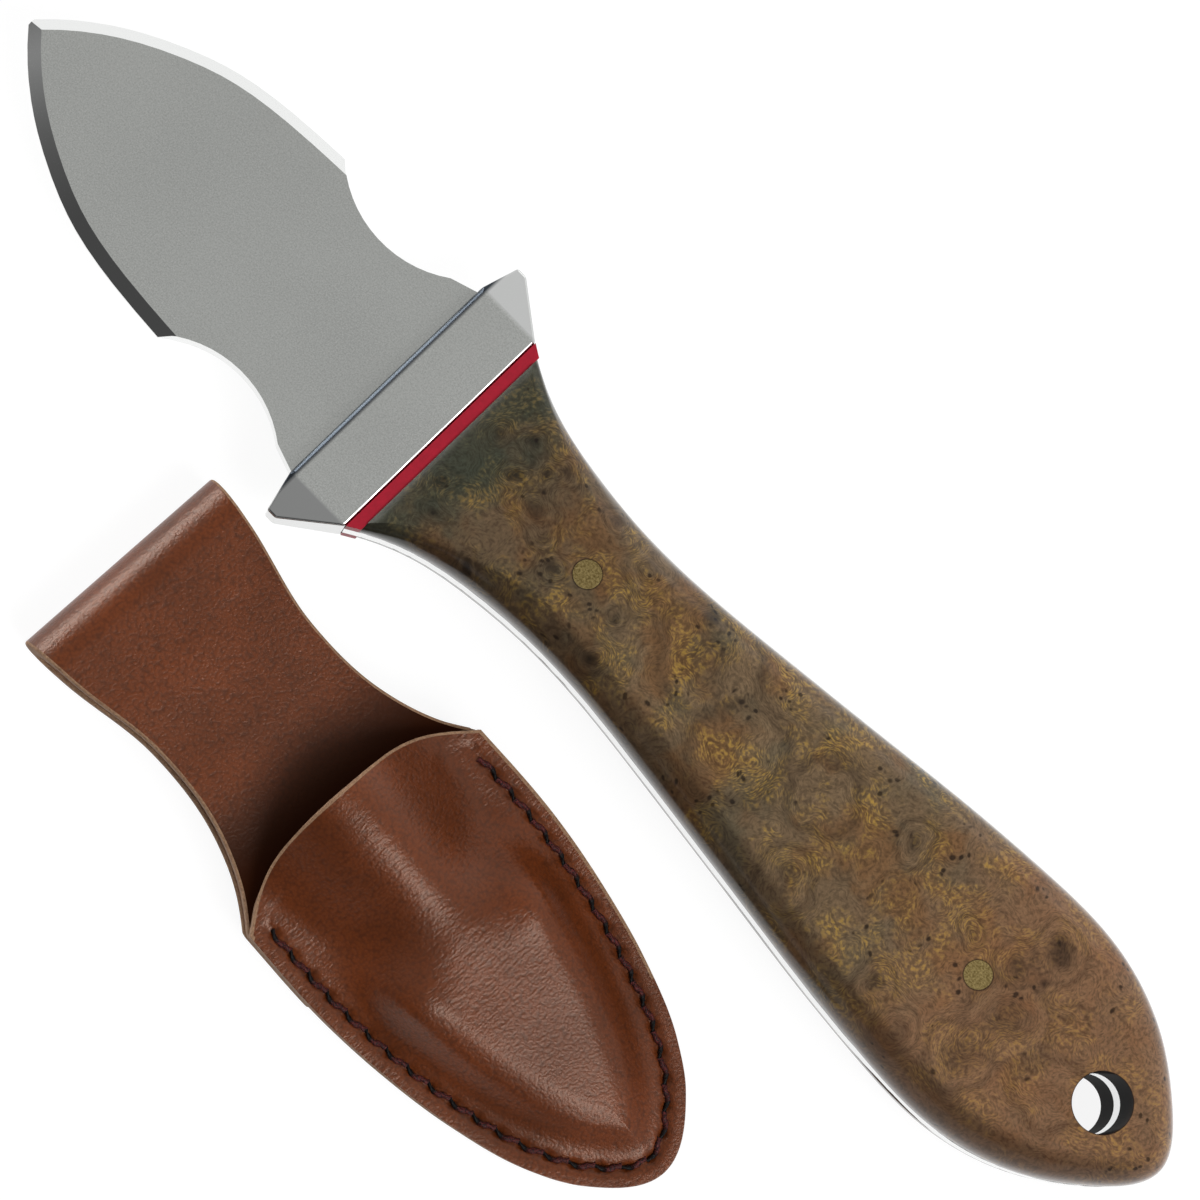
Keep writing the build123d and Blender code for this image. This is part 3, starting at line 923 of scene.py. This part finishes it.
@dataclass(frozen=True)
class GrainLeather:
    """Chestnut cowhide, pressed smooth: fine pebbles and bending creases under a soft shine.

    Just inside the pouch's mouth it is painted almost black, a painted shade for how little light gets in
    there.
    Sizes are in millimetres, and stations run along the sheath.

    Args:
        fold_place: origin of the sheath's own axes.
        turn: how those are turned, in radians about X, Y and Z.
        mouth: station of the middle of the mouth.
        patch: width of a lighter or darker area.
        pebble: width of a pebble of the grain.
        fine: width of the finest roughness.
        crease: width, length and depth of a crease.
        crease_run: stations between which the creases fade.
        crease_share: how strong they are at each of those.
        back_top: height under which a place is on the back of the pouch.
        front_foot: height over which it is on the front.
        shade_run: start and end of the painted shade inside, measured from the mouth.
    """

    fold_place: Point
    turn: Point
    mouth: float
    brown: str = "#652f12"
    deep: str = "#55270e"
    # colour painted into the grain's pits as painted shade
    inside: str = "#33170a"
    # colour of the painted shade just inside the mouth
    painted_throat_shade: str = "#2a140a"
    sheen: str = "#ffe2d0"
    patch: float = 9.0
    pebble: float = 0.32
    fine: float = 0.22
    crease: Point = (0.38, 1.5, 1.0)
    crease_run: Pair = (52.0, 66.0)
    crease_share: Pair = (2.4, 0.3)
    back_top: float = 0.6
    front_foot: float = 1.0
    shade_run: Pair = (-9.0, 2.0)

    def build(self) -> bpy.types.Material:
        """Make the material of the leather's outer side.

        Returns:
            The material.
        """
        material, bench = new_material("chestnut_grain_leather")
        metric = bench.add("TexCoord", output="Object")
        inputs = {"Vector": metric, "Location": metres(*self.fold_place), "Rotation": self.turn}
        place = bench.add("Mapping", inputs | {"Scale": (MM, MM, MM)}, vector_type="TEXTURE")
        broad = bench.add("TexNoise", {"Vector": place, "Scale": 1 / self.patch, "Detail": 3.0})
        patch = bench.add("MapRange", {0: broad, 1: 0.35, 2: 0.65})
        colour = bench.add("Mix", {0: patch, 6: self.deep, 7: self.brown}, **COLOURS)
        along = bench.add("SeparateXYZ", {0: place}, output="X")
        height = bench.add("SeparateXYZ", {0: place}, output="Z")
        pebble = bench.add("TexVoronoi", {"Vector": place, "Scale": 1 / self.pebble}, feature="SMOOTH_F1")
        # the grain's pits are painted darker, a painted shade in the recesses
        painted_pit_shade = bench.add("MapRange", {0: pebble, 1: 0.3, 2: 0.75, 3: 0.0, 4: 0.6})
        colour = bench.add("Mix", {0: painted_pit_shade, 6: colour, 7: self.inside}, **COLOURS)
        start, end = (self.mouth + reach for reach in self.shade_run)
        # painted shade: the back darkens towards the mouth and into the pouch
        under = bench.add("MapRange", {0: along, 1: start, 2: end}, **SMOOTH)
        flat = bench.add("Math", {0: height, 1: self.back_top}, operation="LESS_THAN")
        under = bench.add("Math", {0: under, 1: flat}, operation="MULTIPLY")
        colour = bench.add("Mix", {0: under, 6: colour, 7: self.painted_throat_shade}, **COLOURS)
        thin = tuple(1 / size for size in self.crease)
        stretched = bench.add("Mapping", {"Vector": place, "Scale": thin})
        inputs = {"Vector": stretched, "Scale": 1.0, "Detail": 2.0, "Roughness": 0.6}
        crease = bench.add("TexNoise", inputs)
        start, end = self.crease_run
        strong, weak = self.crease_share
        bend = bench.add("MapRange", {0: along, 1: start, 2: end, 3: strong, 4: weak})
        front = bench.add("Math", {0: height, 1: self.front_foot}, operation="GREATER_THAN")
        bend = bench.add("Math", {0: bend, 1: front}, operation="MULTIPLY")
        crease = bench.add("Math", {0: crease, 1: bend}, operation="MULTIPLY")
        inputs = {"Vector": place, "Scale": 1 / self.fine, "Detail": 3.0, "Roughness": 0.6}
        fine = bench.add("TexNoise", inputs)
        relief = bench.add("Math", {0: fine, 1: pebble}, operation="SUBTRACT")
        relief = bench.add("Math", {0: relief, 1: crease}, operation="ADD")
        normal = bench.add("Bump", {"Height": relief, "Strength": 0.7, "Distance": 0.045 * MM})
        inputs = {"Base Color": colour, "Roughness": 0.33, "Normal": normal, "Specular IOR Level": 0.46}
        inputs |= {"Specular Tint": self.sheen}
        shade = bench.add("BsdfPrincipled", inputs)
        # under the painted shade the shine gives way to a plain dark diffuse
        unlit = bench.add("BsdfDiffuse", {"Color": self.painted_throat_shade})
        shade = bench.add("MixShader", {0: under, 1: shade, 2: unlit})
        bench.add("OutputMaterial", {"Surface": shade})
        return material


@dataclass(frozen=True)
class CutLeather:
    """Undyed leather where it shows no grain: the sueded flesh side, or a fibrous cut edge.

    It is dull and tan, and its nap breaks up the light.

    Args:
        name: which of the two it is.
        light: colour of the raised fibres.
        dark: colour between them.
        fibre: width of a tuft in millimetres.
    """

    name: str
    light: str
    dark: str
    fibre: float = 0.5

    def build(self) -> bpy.types.Material:
        """Make the material.

        Returns:
            The material.
        """
        material, bench = new_material(self.name)
        place = bench.add("TexCoord", output="Object")
        inputs = {"Vector": place, "Scale": 1 / (self.fibre * MM), "Detail": 5.0, "Roughness": 0.7}
        nap = bench.add("TexNoise", inputs)
        share = bench.add("MapRange", {0: nap, 1: 0.35, 2: 0.65})
        colour = bench.add("Mix", {0: share, 6: self.dark, 7: self.light}, **COLOURS)
        normal = bench.add("Bump", {"Height": nap, "Strength": 0.5, "Distance": 0.15 * MM})
        shade = bench.add("BsdfPrincipled", {"Base Color": colour, "Roughness": 0.8, "Normal": normal})
        bench.add("OutputMaterial", {"Surface": shade})
        return material


@dataclass(frozen=True)
class WaxedThread:
    """Linen thread of twisted strands, waxed dark burgundy, and painted black as painted shade where it dives
    into a hole.
    """

    burgundy: str = "#55211f"
    black: str = "#180a0a"
    # colour of the painted shade where the thread goes down into its hole
    hole: str = "#060303"
    strand: float = 0.16

    def build(self) -> bpy.types.Material:
        """Make the thread's material.

        Returns:
            The material.
        """
        material, bench = new_material("burgundy_waxed_thread")
        place = bench.add("TexCoord", output="Object")
        strand = bench.add("TexNoise", {"Vector": place, "Scale": 1 / (self.strand * MM), "Detail": 2.0})
        share = bench.add("MapRange", {0: strand, 1: 0.4, 2: 0.62})
        colour = bench.add("Mix", {0: share, 6: self.black, 7: self.burgundy}, **COLOURS)
        # painted shade: the thread darkens where it dives into the hole
        sunk = bench.add("Attribute", output="Fac", attribute_name="sunk")
        colour = bench.add("Mix", {0: sunk, 6: colour, 7: self.hole}, **COLOURS)
        normal = bench.add("Bump", {"Height": strand, "Strength": 0.4, "Distance": 0.1 * MM})
        inputs = {"Base Color": colour, "Roughness": 0.6, "Normal": normal, "Specular IOR Level": 0.2}
        shade = bench.add("BsdfPrincipled", inputs)
        bench.add("OutputMaterial", {"Surface": shade})
        return material


@dataclass(frozen=True)
class Stitch:
    """Sizes of one stitch, whose thread lies slanted on the leather and dives into the next hole.

    Args:
        radius: half the thread's thickness.
        dive: share of the stitch at which the thread goes down.
        ease: share over which it bends down, to either side of that.
        slant: how far it leans to either side.
        rise: height of its middle over the leather at the ends.
        arch: how much higher it stands half way to the dive.
        drop: height of its middle once it is down.
        squeeze: share of its thickness that is left there.
        strand: how far its strands stand out, as a share of the radius.
        twist: how far they turn along the stitch, in radians.
        dark_run: where it darkens towards the hole, in shares from the dive.
    """

    radius: float = 0.3
    dive: float = 0.62
    ease: float = 0.08
    slant: float = 0.24
    rise: float = 0.04
    arch: float = 0.1
    drop: float = -0.06
    squeeze: float = 0.75
    strand: float = 0.22
    twist: float = 9.0
    # dark_run: where it is painted dark towards the hole as painted shade, in shares from the dive.
    dark_run: Pair = (-0.1, 0.06)

    @property
    def lead(self) -> float:
        """Share of the pitch by which the thread starts after its first hole."""
        return (1 - self.dive) / 2

    def sunk(self, share: float) -> float:
        """Tell how far the thread has gone down at a share along."""
        return smoothstep(self.dive - self.ease, self.dive + self.ease, share)

    def lean(self, share: float) -> float:
        """Find how far to the side the thread's middle lies at a share along."""
        swing = share / self.dive if share <= self.dive else (1 - share) / (1 - self.dive)
        return self.slant * (2 * swing - 1)

    def lift(self, share: float) -> float:
        """Find how high the thread's middle lies over the leather at a share along."""
        arch = self.rise + self.arch * math.sin(math.pi * min(share / self.dive, 1.0))
        return blend(arch, self.drop, self.sunk(share))

    def girth(self, share: float, angle: float) -> float:
        """Find how far the thread's skin stands from its middle at a share along and an angle."""
        strand = 1 + self.strand * math.cos(2 * (angle - self.twist * share))
        return self.radius * blend(1.0, self.squeeze, self.sunk(share)) * strand


@dataclass
class Sheath:
    """The leather sheath: a strap folded into a belt loop, with the moulded pouch sewn to it.

    Stations run from the outside of the fold to the closed end, along the sheath's own back,
    which leans because it rests on the rolled fold and on the closed end. A run is a length
    along the strap: 0 on top of the fold, positive towards the closed end and negative round
    the fold to the tail.

    Args:
        fold_place: where the outside of the fold stands in the frame.
        heading: degrees between the sheath's length and the knife's.
        gap: how much thinner a panel is than the leather, so that the two don't share a face.
        tongue: how far the front reaches towards the fold in the middle of the mouth.
        return_lift: station at which the tail begins to rise to the back.
        return_ease: how far that rise is smooth, from 0 for a straight one to 1.
        tail_start: station from which it lies on the back.
        spine_start: where the middle line of the strap begins to fall behind its edge.
        spine_end: where the middle line of each panel ends.
        pouch_join: past the mouth, the end of the strap's even steps and the pouch's first point.
        bare_side_end: station up to which the cut edge on the far side is undyed.
        lip: how far from the mouth's edge a face still belongs to it.
        tongue_fade: how far into the pouch the mouth's curve is felt.
        front_waver: height and length of the front's unevenness.
        back_waver: the same on the back, between the runs of wavy_run.
        seam_seat: how far under the leather's face the seam lies in its groove.
        top_fall: where the flat top has fallen away and where it begins to, from the blade's edge.
        rim_rise: where the moulding rises, from the seam.
        strap_shares: outline of the strap, in shares of the length to the mouth and its half width.
        pouch_shares: outline of the pouch, in shares of its own length and half width.
    """

    fold_place: Point = (-66.5, -31.9, 9.39)
    heading: float = 2.5
    leather: float = 1.8
    gap: float = 0.04
    length: float = 83.6
    mouth: float = 37.1
    tongue: float = 5.4
    fold_radius: float = 4.5
    fold_half_width: float = 12.76
    strap_half_width: float = 10.2
    pouch_half_width: float = 15.8
    return_lift: float = 24.0
    return_ease: float = 0.6
    tail_start: float = 41.0
    tail_length: float = 6.0
    spine_start: float = 50.0
    spine_end: float = 75.0
    seam_inset: float = 2.0
    stitches: int = 34
    tail_rows: tuple[float, ...] = (42.8, 45.5)
    tail_stitches: int = 5
    tail_pitch: float = 3.2
    pouch_join: Pair = (3.0, 3.2)
    edge_step: float = 0.5
    bare_side_end: float = 68.0
    lip: float = 0.5
    tongue_fade: float = 30.0
    front_waver: Pair = (0.12, 7.0)
    back_waver: Pair = (0.1, 8.0)
    wavy_run: Pair = (6.0, 30.0)
    stitch: Stitch = Stitch()
    first_hole: float = 0.9
    seam_seat: float = 0.25
    crown_height: Pair = (4.8, 7.4)
    crown_run: Pair = (54.0, 32.0)
    crown_reach: Pair = (10.6, 13.4)
    crown_taper: Pair = (49.0, 36.0)
    blade_tip: float = 82.5
    blade_length: float = 32.6
    blade_half: float = 12.2
    top_height: Pair = (1.2, 5.0)
    top_end: float = 84.0
    top_run: float = 33.0
    top_start: Pair = (43.0, 56.0)
    top_fall: Pair = (3.2, -6.0)
    knob: Pair = (53.0, 9.4)
    knob_height: float = 0.55
    knob_reach: float = 3.4
    rim_rise: Pair = (-0.2, 4.6)
    groove_depth: float = 0.3
    groove_reach: float = 0.55
    pucker_depth: float = 0.4
    pucker_reach: float = 0.5
    edge_softening: float = 0.42
    front_grid: tuple[int, int] = (160, 88)
    back_grid: tuple[int, int] = (300, 60)
    stitch_grid: tuple[int, int] = (24, 10)
    strap_shares: tuple[Pair, ...] = ((0.165, 1.186), (0.470, 1.000), (0.730, 1.078), (0.917, 1.343))
    pouch_shares: tuple[Pair, ...] = (
        (0.262, 0.994),
        (0.434, 0.936),
        (0.615, 0.827),
        (0.802, 0.635),
        (0.899, 0.455),
    )

    def __post_init__(self) -> None:
        """Work out the lean, the outlines and the stitch holes."""
        fall = self.length - self.fold_radius
        rise = self.fold_radius - self.leather
        self.lean = math.atan(rise / fall) + math.asin(self.fold_radius / math.hypot(fall, rise))
        self.turn = (0.0, self.lean, -math.radians(self.heading))
        self.axes = Euler(self.turn).to_matrix()
        pouch_length = self.length - self.mouth
        pouch = [
            (self.mouth + share * pouch_length, width * self.pouch_half_width)
            for share, width in ((0.0, 1.0), *self.pouch_shares, (1.0, 0.0))
        ]
        strap = [(share * self.mouth, width * self.strap_half_width) for share, width in self.strap_shares]
        strap = [(0.0, self.fold_half_width), *strap, pouch[0]]
        self.strap_side = Outline(strap, (1.0, -0.1, 0.0), (1.0, 0.75, 0.0))
        self.pouch_side = Outline(pouch, (1.0, 0.02, 0.0), (0.0, -1.0, 0.0))
        side, count = self.pouch_side, 1000
        self.pouch_tree = search_tree([side.at(n * side.length / (count - 1)) for n in range(count)])
        self.holes = self.seam_holes()
        self.hole_tree = search_tree(self.holes[1:])

    def half_width(self, station: float) -> float:
        """Half width of the sheath at a station."""
        side = self.strap_side if station < self.mouth else self.pouch_side
        return side.width_at(max(station, 0.0))

    def place(self, along: float, across: float, up: float) -> Vector:
        """Turn a point on the sheath's own axes into one in the frame, in millimetres."""
        return Vector(self.fold_place) + self.axes @ Vector((along, across, up))

    def seam_holes(self) -> list[Vector]:
        """Space the stitch holes evenly along the seam from one mouth corner to the other.

        Returns:
            The holes, each a station and a distance across.
        """
        side = self.pouch_side.run
        inset = []
        for before, here, after in zip(side, side[1:], side[2:]):
            run = (after - before).normalized()
            inset.append(here + Vector((run.y, -run.x)) * self.seam_inset)
        inset = [point for point in inset if point.y > 0]
        seam = Trail(inset + [Vector((point.x, -point.y)) for point in reversed(inset)])
        step = (seam.length - 2 * self.first_hole) / self.stitches
        return [seam.at(self.first_hole + number * step) for number in range(self.stitches + 1)]

    def spread(self, edge: Vector, across: float, start: float, end: float, tip: float) -> Pair:
        """Place of a panel's point on the line from its edge in to its middle.

        Past the start, the middle line falls behind the edge, so that these lines fan out
        round the closed end.

        Args:
            edge: length along the panel and half width, on its edge.
            across: from -1 to 1, which are its two edges.
            start: where the middle line begins to fall behind.
            end: where it ends.
            tip: where the edges meet.

        Returns:
            Length along the panel and distance across.
        """
        inward = 1 - abs(across)
        middle = edge.x if edge.x < start else blend(start, end, (edge.x - start) / (tip - start))
        return blend(edge.x, middle, inward), math.copysign(edge.y * (1 - inward), across)

    def pouch_height(self, station: float, across: float) -> float:
        """Find the height of the pouch's outer face above the back, moulded over the blade.

        A crown stands over the neck at the mouth, and past the blade's shoulders, which show as
        two small knobs, the leather is wide and flat-topped.

        Args:
            station: place along the sheath.
            across: distance from its middle line.

        Returns:
            The height in millimetres.
        """
        width = abs(across)
        inside = self.pouch_tree.find((station, width, 0.0))[2] if station > self.mouth - 1 else 99.0
        crown = blend(*self.crown_height, smoothstep(*self.crown_run, station))
        reach = blend(*self.crown_reach, smoothstep(*self.crown_taper, station))
        crown *= 0.5 + 0.5 * math.cos(math.pi * min(width / reach, 1.0))
        blade_share = min(max((self.blade_tip - station) / self.blade_length, 0.0), 1.0)
        blade_width = self.blade_half * math.sin(math.pi / 2 * blade_share**0.8)
        top = blend(*self.top_height, min(max((self.top_end - station) / self.top_run, 0.0), 1.0))
        flat = top * smoothstep(*(blade_width + reach for reach in self.top_fall), width)
        height = blend(crown, flat, smoothstep(*self.top_start, station + 0.1 * width))
        knob_away = math.hypot(station - self.knob[0], width - self.knob[1])
        height += self.knob_height * bump(knob_away, self.knob_reach)
        from_seam = inside - self.seam_inset
        height *= smoothstep(*self.rim_rise, from_seam)
        groove = self.groove_depth * bump(from_seam, self.groove_reach) if station > self.mouth else 0.0
        return self.leather + height - groove

    def pucker(self, station: float, across: float) -> float:
        """How deep the leather is drawn in at the nearest stitch hole."""
        away = self.hole_tree.find((station, across, 0.0))[2]
        return self.pucker_depth * bump(away, self.pucker_reach)

    def mouth_line(self, across: float) -> float:
        """Station of the front's curved mouth edge at a share across."""
        reach = min(abs(across), 1.0)
        return self.mouth - self.tongue * (1 - reach**2) ** 1.25 * (1 + 0.9 * reach**2)

    def front_place(self, share: float, across: float) -> Vector:
        """Find a point of the front panel's outer face.

        Args:
            share: how far round the outline, from 0 at the mouth to 1 at the closed end.
            across: from -1 to 1, which are the two edges.

        Returns:
            The point in the frame, in millimetres.
        """
        edge = self.pouch_side.at(share * self.pouch_side.length)
        station, side = self.spread(edge, across, self.mouth, self.spine_end, self.length)
        curve = self.mouth_line(side / self.pouch_half_width) - self.mouth
        station += curve * smoothstep(self.mouth + self.tongue_fade, self.mouth, edge.x)
        height = self.pouch_height(station, side) - self.pucker(station, side)
        swell, wave = self.front_waver
        height += swell * noise.noise(Vector((station, side, 0.0)) / wave)
        return self.place(station, side, height)

    def strap_point(self, run: float) -> Pair:
        """Find where the strap's outer face is at a run.

        Args:
            run: length along the strap from the top of the fold.

        Returns:
            Station and height.
        """
        radius = self.fold_radius
        if run >= 0:
            return radius + run, 0.0
        arc = radius * (math.pi + self.lean)
        if run > -arc:
            turn = -run / radius
            return radius - radius * math.sin(turn), radius * math.cos(turn) - radius
        foot = (radius + radius * math.sin(self.lean), -radius - radius * math.cos(self.lean))
        rest = -run - arc
        station = foot[0] + rest * math.cos(self.lean)
        if station < self.return_lift:
            return station, foot[1] + rest * math.sin(self.lean)
        low = foot[1] + (self.return_lift - foot[0]) * math.tan(self.lean)
        share = min((station - self.return_lift) / (self.tail_start - self.return_lift), 1.0)
        rise = blend(share, smoothstep(0.0, 1.0, share), self.return_ease)
        return station, blend(low, -2 * self.leather, rise)

    @property
    def tail_run(self) -> float:
        """Run of the tail's end."""
        rest = self.tail_start + self.tail_length - self.fold_radius * (1 + math.sin(self.lean))
        return -(self.fold_radius * (math.pi + self.lean) + rest / math.cos(self.lean))

    def back_edge(self) -> Trail:
        """Follow the strap's edge from the tail round the fold to the closed end.

        Returns:
            The edge, whose points are each a run and a half width.
        """
        last, first = (self.mouth + reach for reach in self.pouch_join)
        count = math.ceil((last - self.fold_radius - self.tail_run) / self.edge_step)
        runs = [self.tail_run + self.edge_step * number for number in range(count)]
        edge = [Vector((run, self.half_width(self.strap_point(run)[0]))) for run in runs]
        edge += [Vector((p.x - self.fold_radius, p.y)) for p in self.pouch_side.run if p.x > first]
        return Trail(edge)

    def build_back(self, finishes: Sequence[bpy.types.Material]) -> None:
        """Fold the strap that is the pouch's back and the belt loop.

        Args:
            finishes: grain side, flesh side and cut edge.
        """
        edge = self.back_edge()
        ends = (station - self.fold_radius for station in (self.spine_start, self.spine_end, self.length))
        spine_start, spine_end, tip = ends
        wavy_start, wavy_end = self.wavy_run
        swell, wave = self.back_waver

        def place(share: float, across: float) -> Vector:
            """Find a point of the strap's outer face, which is the inside of the pouch.

            Args:
                share: how far along its edge.
                across: from -1 to 1, which are its two edges.

            Returns:
                The point in the frame, in millimetres.
            """
            rim = edge.at(share * edge.length)
            run, side = self.spread(rim, across, spine_start, spine_end, tip)
            station, height = self.strap_point(run)
            if wavy_start < run < wavy_end:
                height += swell * noise.noise(Vector((run, side, 9.0)) / wave)
            return self.place(station, side, height)

        shape = bmesh.new()
        shaped_grid(shape, *self.back_grid, place)
        self.finish_panel(shape, "sheath_back", finishes, "sheath_back_panel")

    def build_front(self, finishes: Sequence[bpy.types.Material]) -> None:
        """Mould the front panel, whose edge is left undyed at the mouth and down the far side.

        Args:
            finishes: grain side, flesh side and cut edge.
        """
        shape = bmesh.new()
        shaped_grid(shape, *self.front_grid, self.front_place)
        back_turn = self.axes.transposed()
        for face in shape.faces:
            spot = back_turn @ (face.calc_center_median() / MM - Vector(self.fold_place))
            at_edge = any(edge.is_boundary for edge in face.edges)
            lip = self.mouth_line(spot.y / self.pouch_half_width) + self.lip
            if at_edge and (spot.x < lip or (spot.y > 0 and spot.x < self.bare_side_end)):
                face.material_index = 2
        self.finish_panel(shape, "sheath_front", finishes, "sheath_front_panel")

    def finish_panel(
        self, shape: bmesh.types.BMesh, name: str, finishes: Sequence[bpy.types.Material], node: str
    ) -> None:
        """Give a panel its thickness and soften its cut edges.

        Args:
            shape: its outer face.
            name: the piece's name.
            finishes: grain side, flesh side and cut edge.
            node: the frame's node that it stands for.
        """
        piece = add_piece(name, shape, finishes, Body.SHEATH, [node])
        wall = piece.modifiers.new("thickness", "SOLIDIFY")
        wall.thickness = (self.leather - self.gap) * MM
        wall.offset = -1.0
        wall.material_offset = 1
        wall.material_offset_rim = 2
        wall.use_quality_normals = True
        corner = piece.modifiers.new("edges", "BEVEL")
        corner.width = self.edge_softening * MM
        corner.segments = 3
        corner.limit_method = "ANGLE"
        corner.angle_limit = math.radians(60)
        corner.material = 2
        corner.use_clamp_overlap = True

    def add_stitch(
        self, shape: bmesh.types.BMesh, start: Vector, end: Vector, face: float, outward: float
    ) -> None:
        """Lay one stitch of twisted thread from hole to hole.

        Args:
            shape: the thread's mesh.
            start: first hole on the sheath's own plane.
            end: second hole.
            face: height of the leather's face.
            outward: 1 on the front, -1 on the back.
        """
        stitch = self.stitch
        along = (end - start).normalized()
        beside = Vector((-along.y, along.x, 0.0))

        def place(share: float, turn: float) -> Vector:
            """Find a point of the thread's skin.

            Args:
                share: how far along the stitch.
                turn: from -1 to 1 round the thread.

            Returns:
                The point in the frame, in millimetres.
            """
            middle = (start + (end - start) * (share + stitch.lead)).to_3d()
            middle += beside * stitch.lean(share)
            middle.z = face + outward * stitch.lift(share)
            angle = math.pi * turn
            girth = stitch.girth(share, angle)
            skin = beside * math.cos(angle) * girth + Vector((0.0, 0.0, math.sin(angle) * girth))
            return self.place(*(middle + skin))

        known = len(shape.verts)
        shaped_grid(shape, *self.stitch_grid, place)
        layer = shape.verts.layers.float.get("sunk") or shape.verts.layers.float.new("sunk")
        shape.verts.ensure_lookup_table()
        length = (end - start).length
        # how far each point is painted dark, the painted shade in the hole
        dark_start, dark_end = (stitch.dive + reach for reach in stitch.dark_run)
        for vertex in shape.verts[known:]:
            flat = self.axes.transposed() @ (vertex.co / MM - Vector(self.fold_place))
            share = (flat.to_2d() - start).dot(along) / length - stitch.lead
            vertex[layer] = smoothstep(dark_start, dark_end, share)

    def build_thread(self, finish: bpy.types.Material) -> None:
        """Sew the seam and the belt loop's tail.

        Args:
            finish: the thread's material.
        """
        seam = bmesh.new()
        for start, end in zip(self.holes, self.holes[1:]):
            self.add_stitch(seam, start, end, self.leather - self.seam_seat, 1.0)
            self.add_stitch(seam, start, end, -self.leather, -1.0)
        add_piece("seam_thread", seam, [finish], Body.SHEATH, ["sheath_seam_stitching"])
        tail = bmesh.new()
        for row in self.tail_rows:
            for number in range(self.tail_stitches):
                start = Vector((row, (number - self.tail_stitches / 2) * self.tail_pitch))
                end = start + Vector((0.0, self.tail_pitch))
                self.add_stitch(tail, start, end, 0.0, 1.0)
                self.add_stitch(tail, start, end, -2 * self.leather, -1.0)
        add_piece("loop_thread", tail, [finish], Body.SHEATH, ["belt_loop_stitching"])

    def build(self) -> None:
        """Make the leather and the thread."""
        grain = GrainLeather(self.fold_place, self.turn, self.mouth - self.tongue).build()
        flesh = CutLeather("sueded_flesh_side", "#8a6248", "#5e3c2a").build()
        rim = CutLeather("fibrous_cut_edge", "#967558", "#70523b", 0.3).build()
        self.build_front([grain, flesh, rim])
        self.build_back([grain, flesh, rim])
        self.build_thread(WaxedThread().build())
        LOG.info("sheath: built")


def main() -> None:
    """Dress the frame."""
    logging.basicConfig(level=logging.INFO)
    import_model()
    Studio().build()
    Knife().build()
    Sheath().build()


if __name__ == "__main__":
    main()
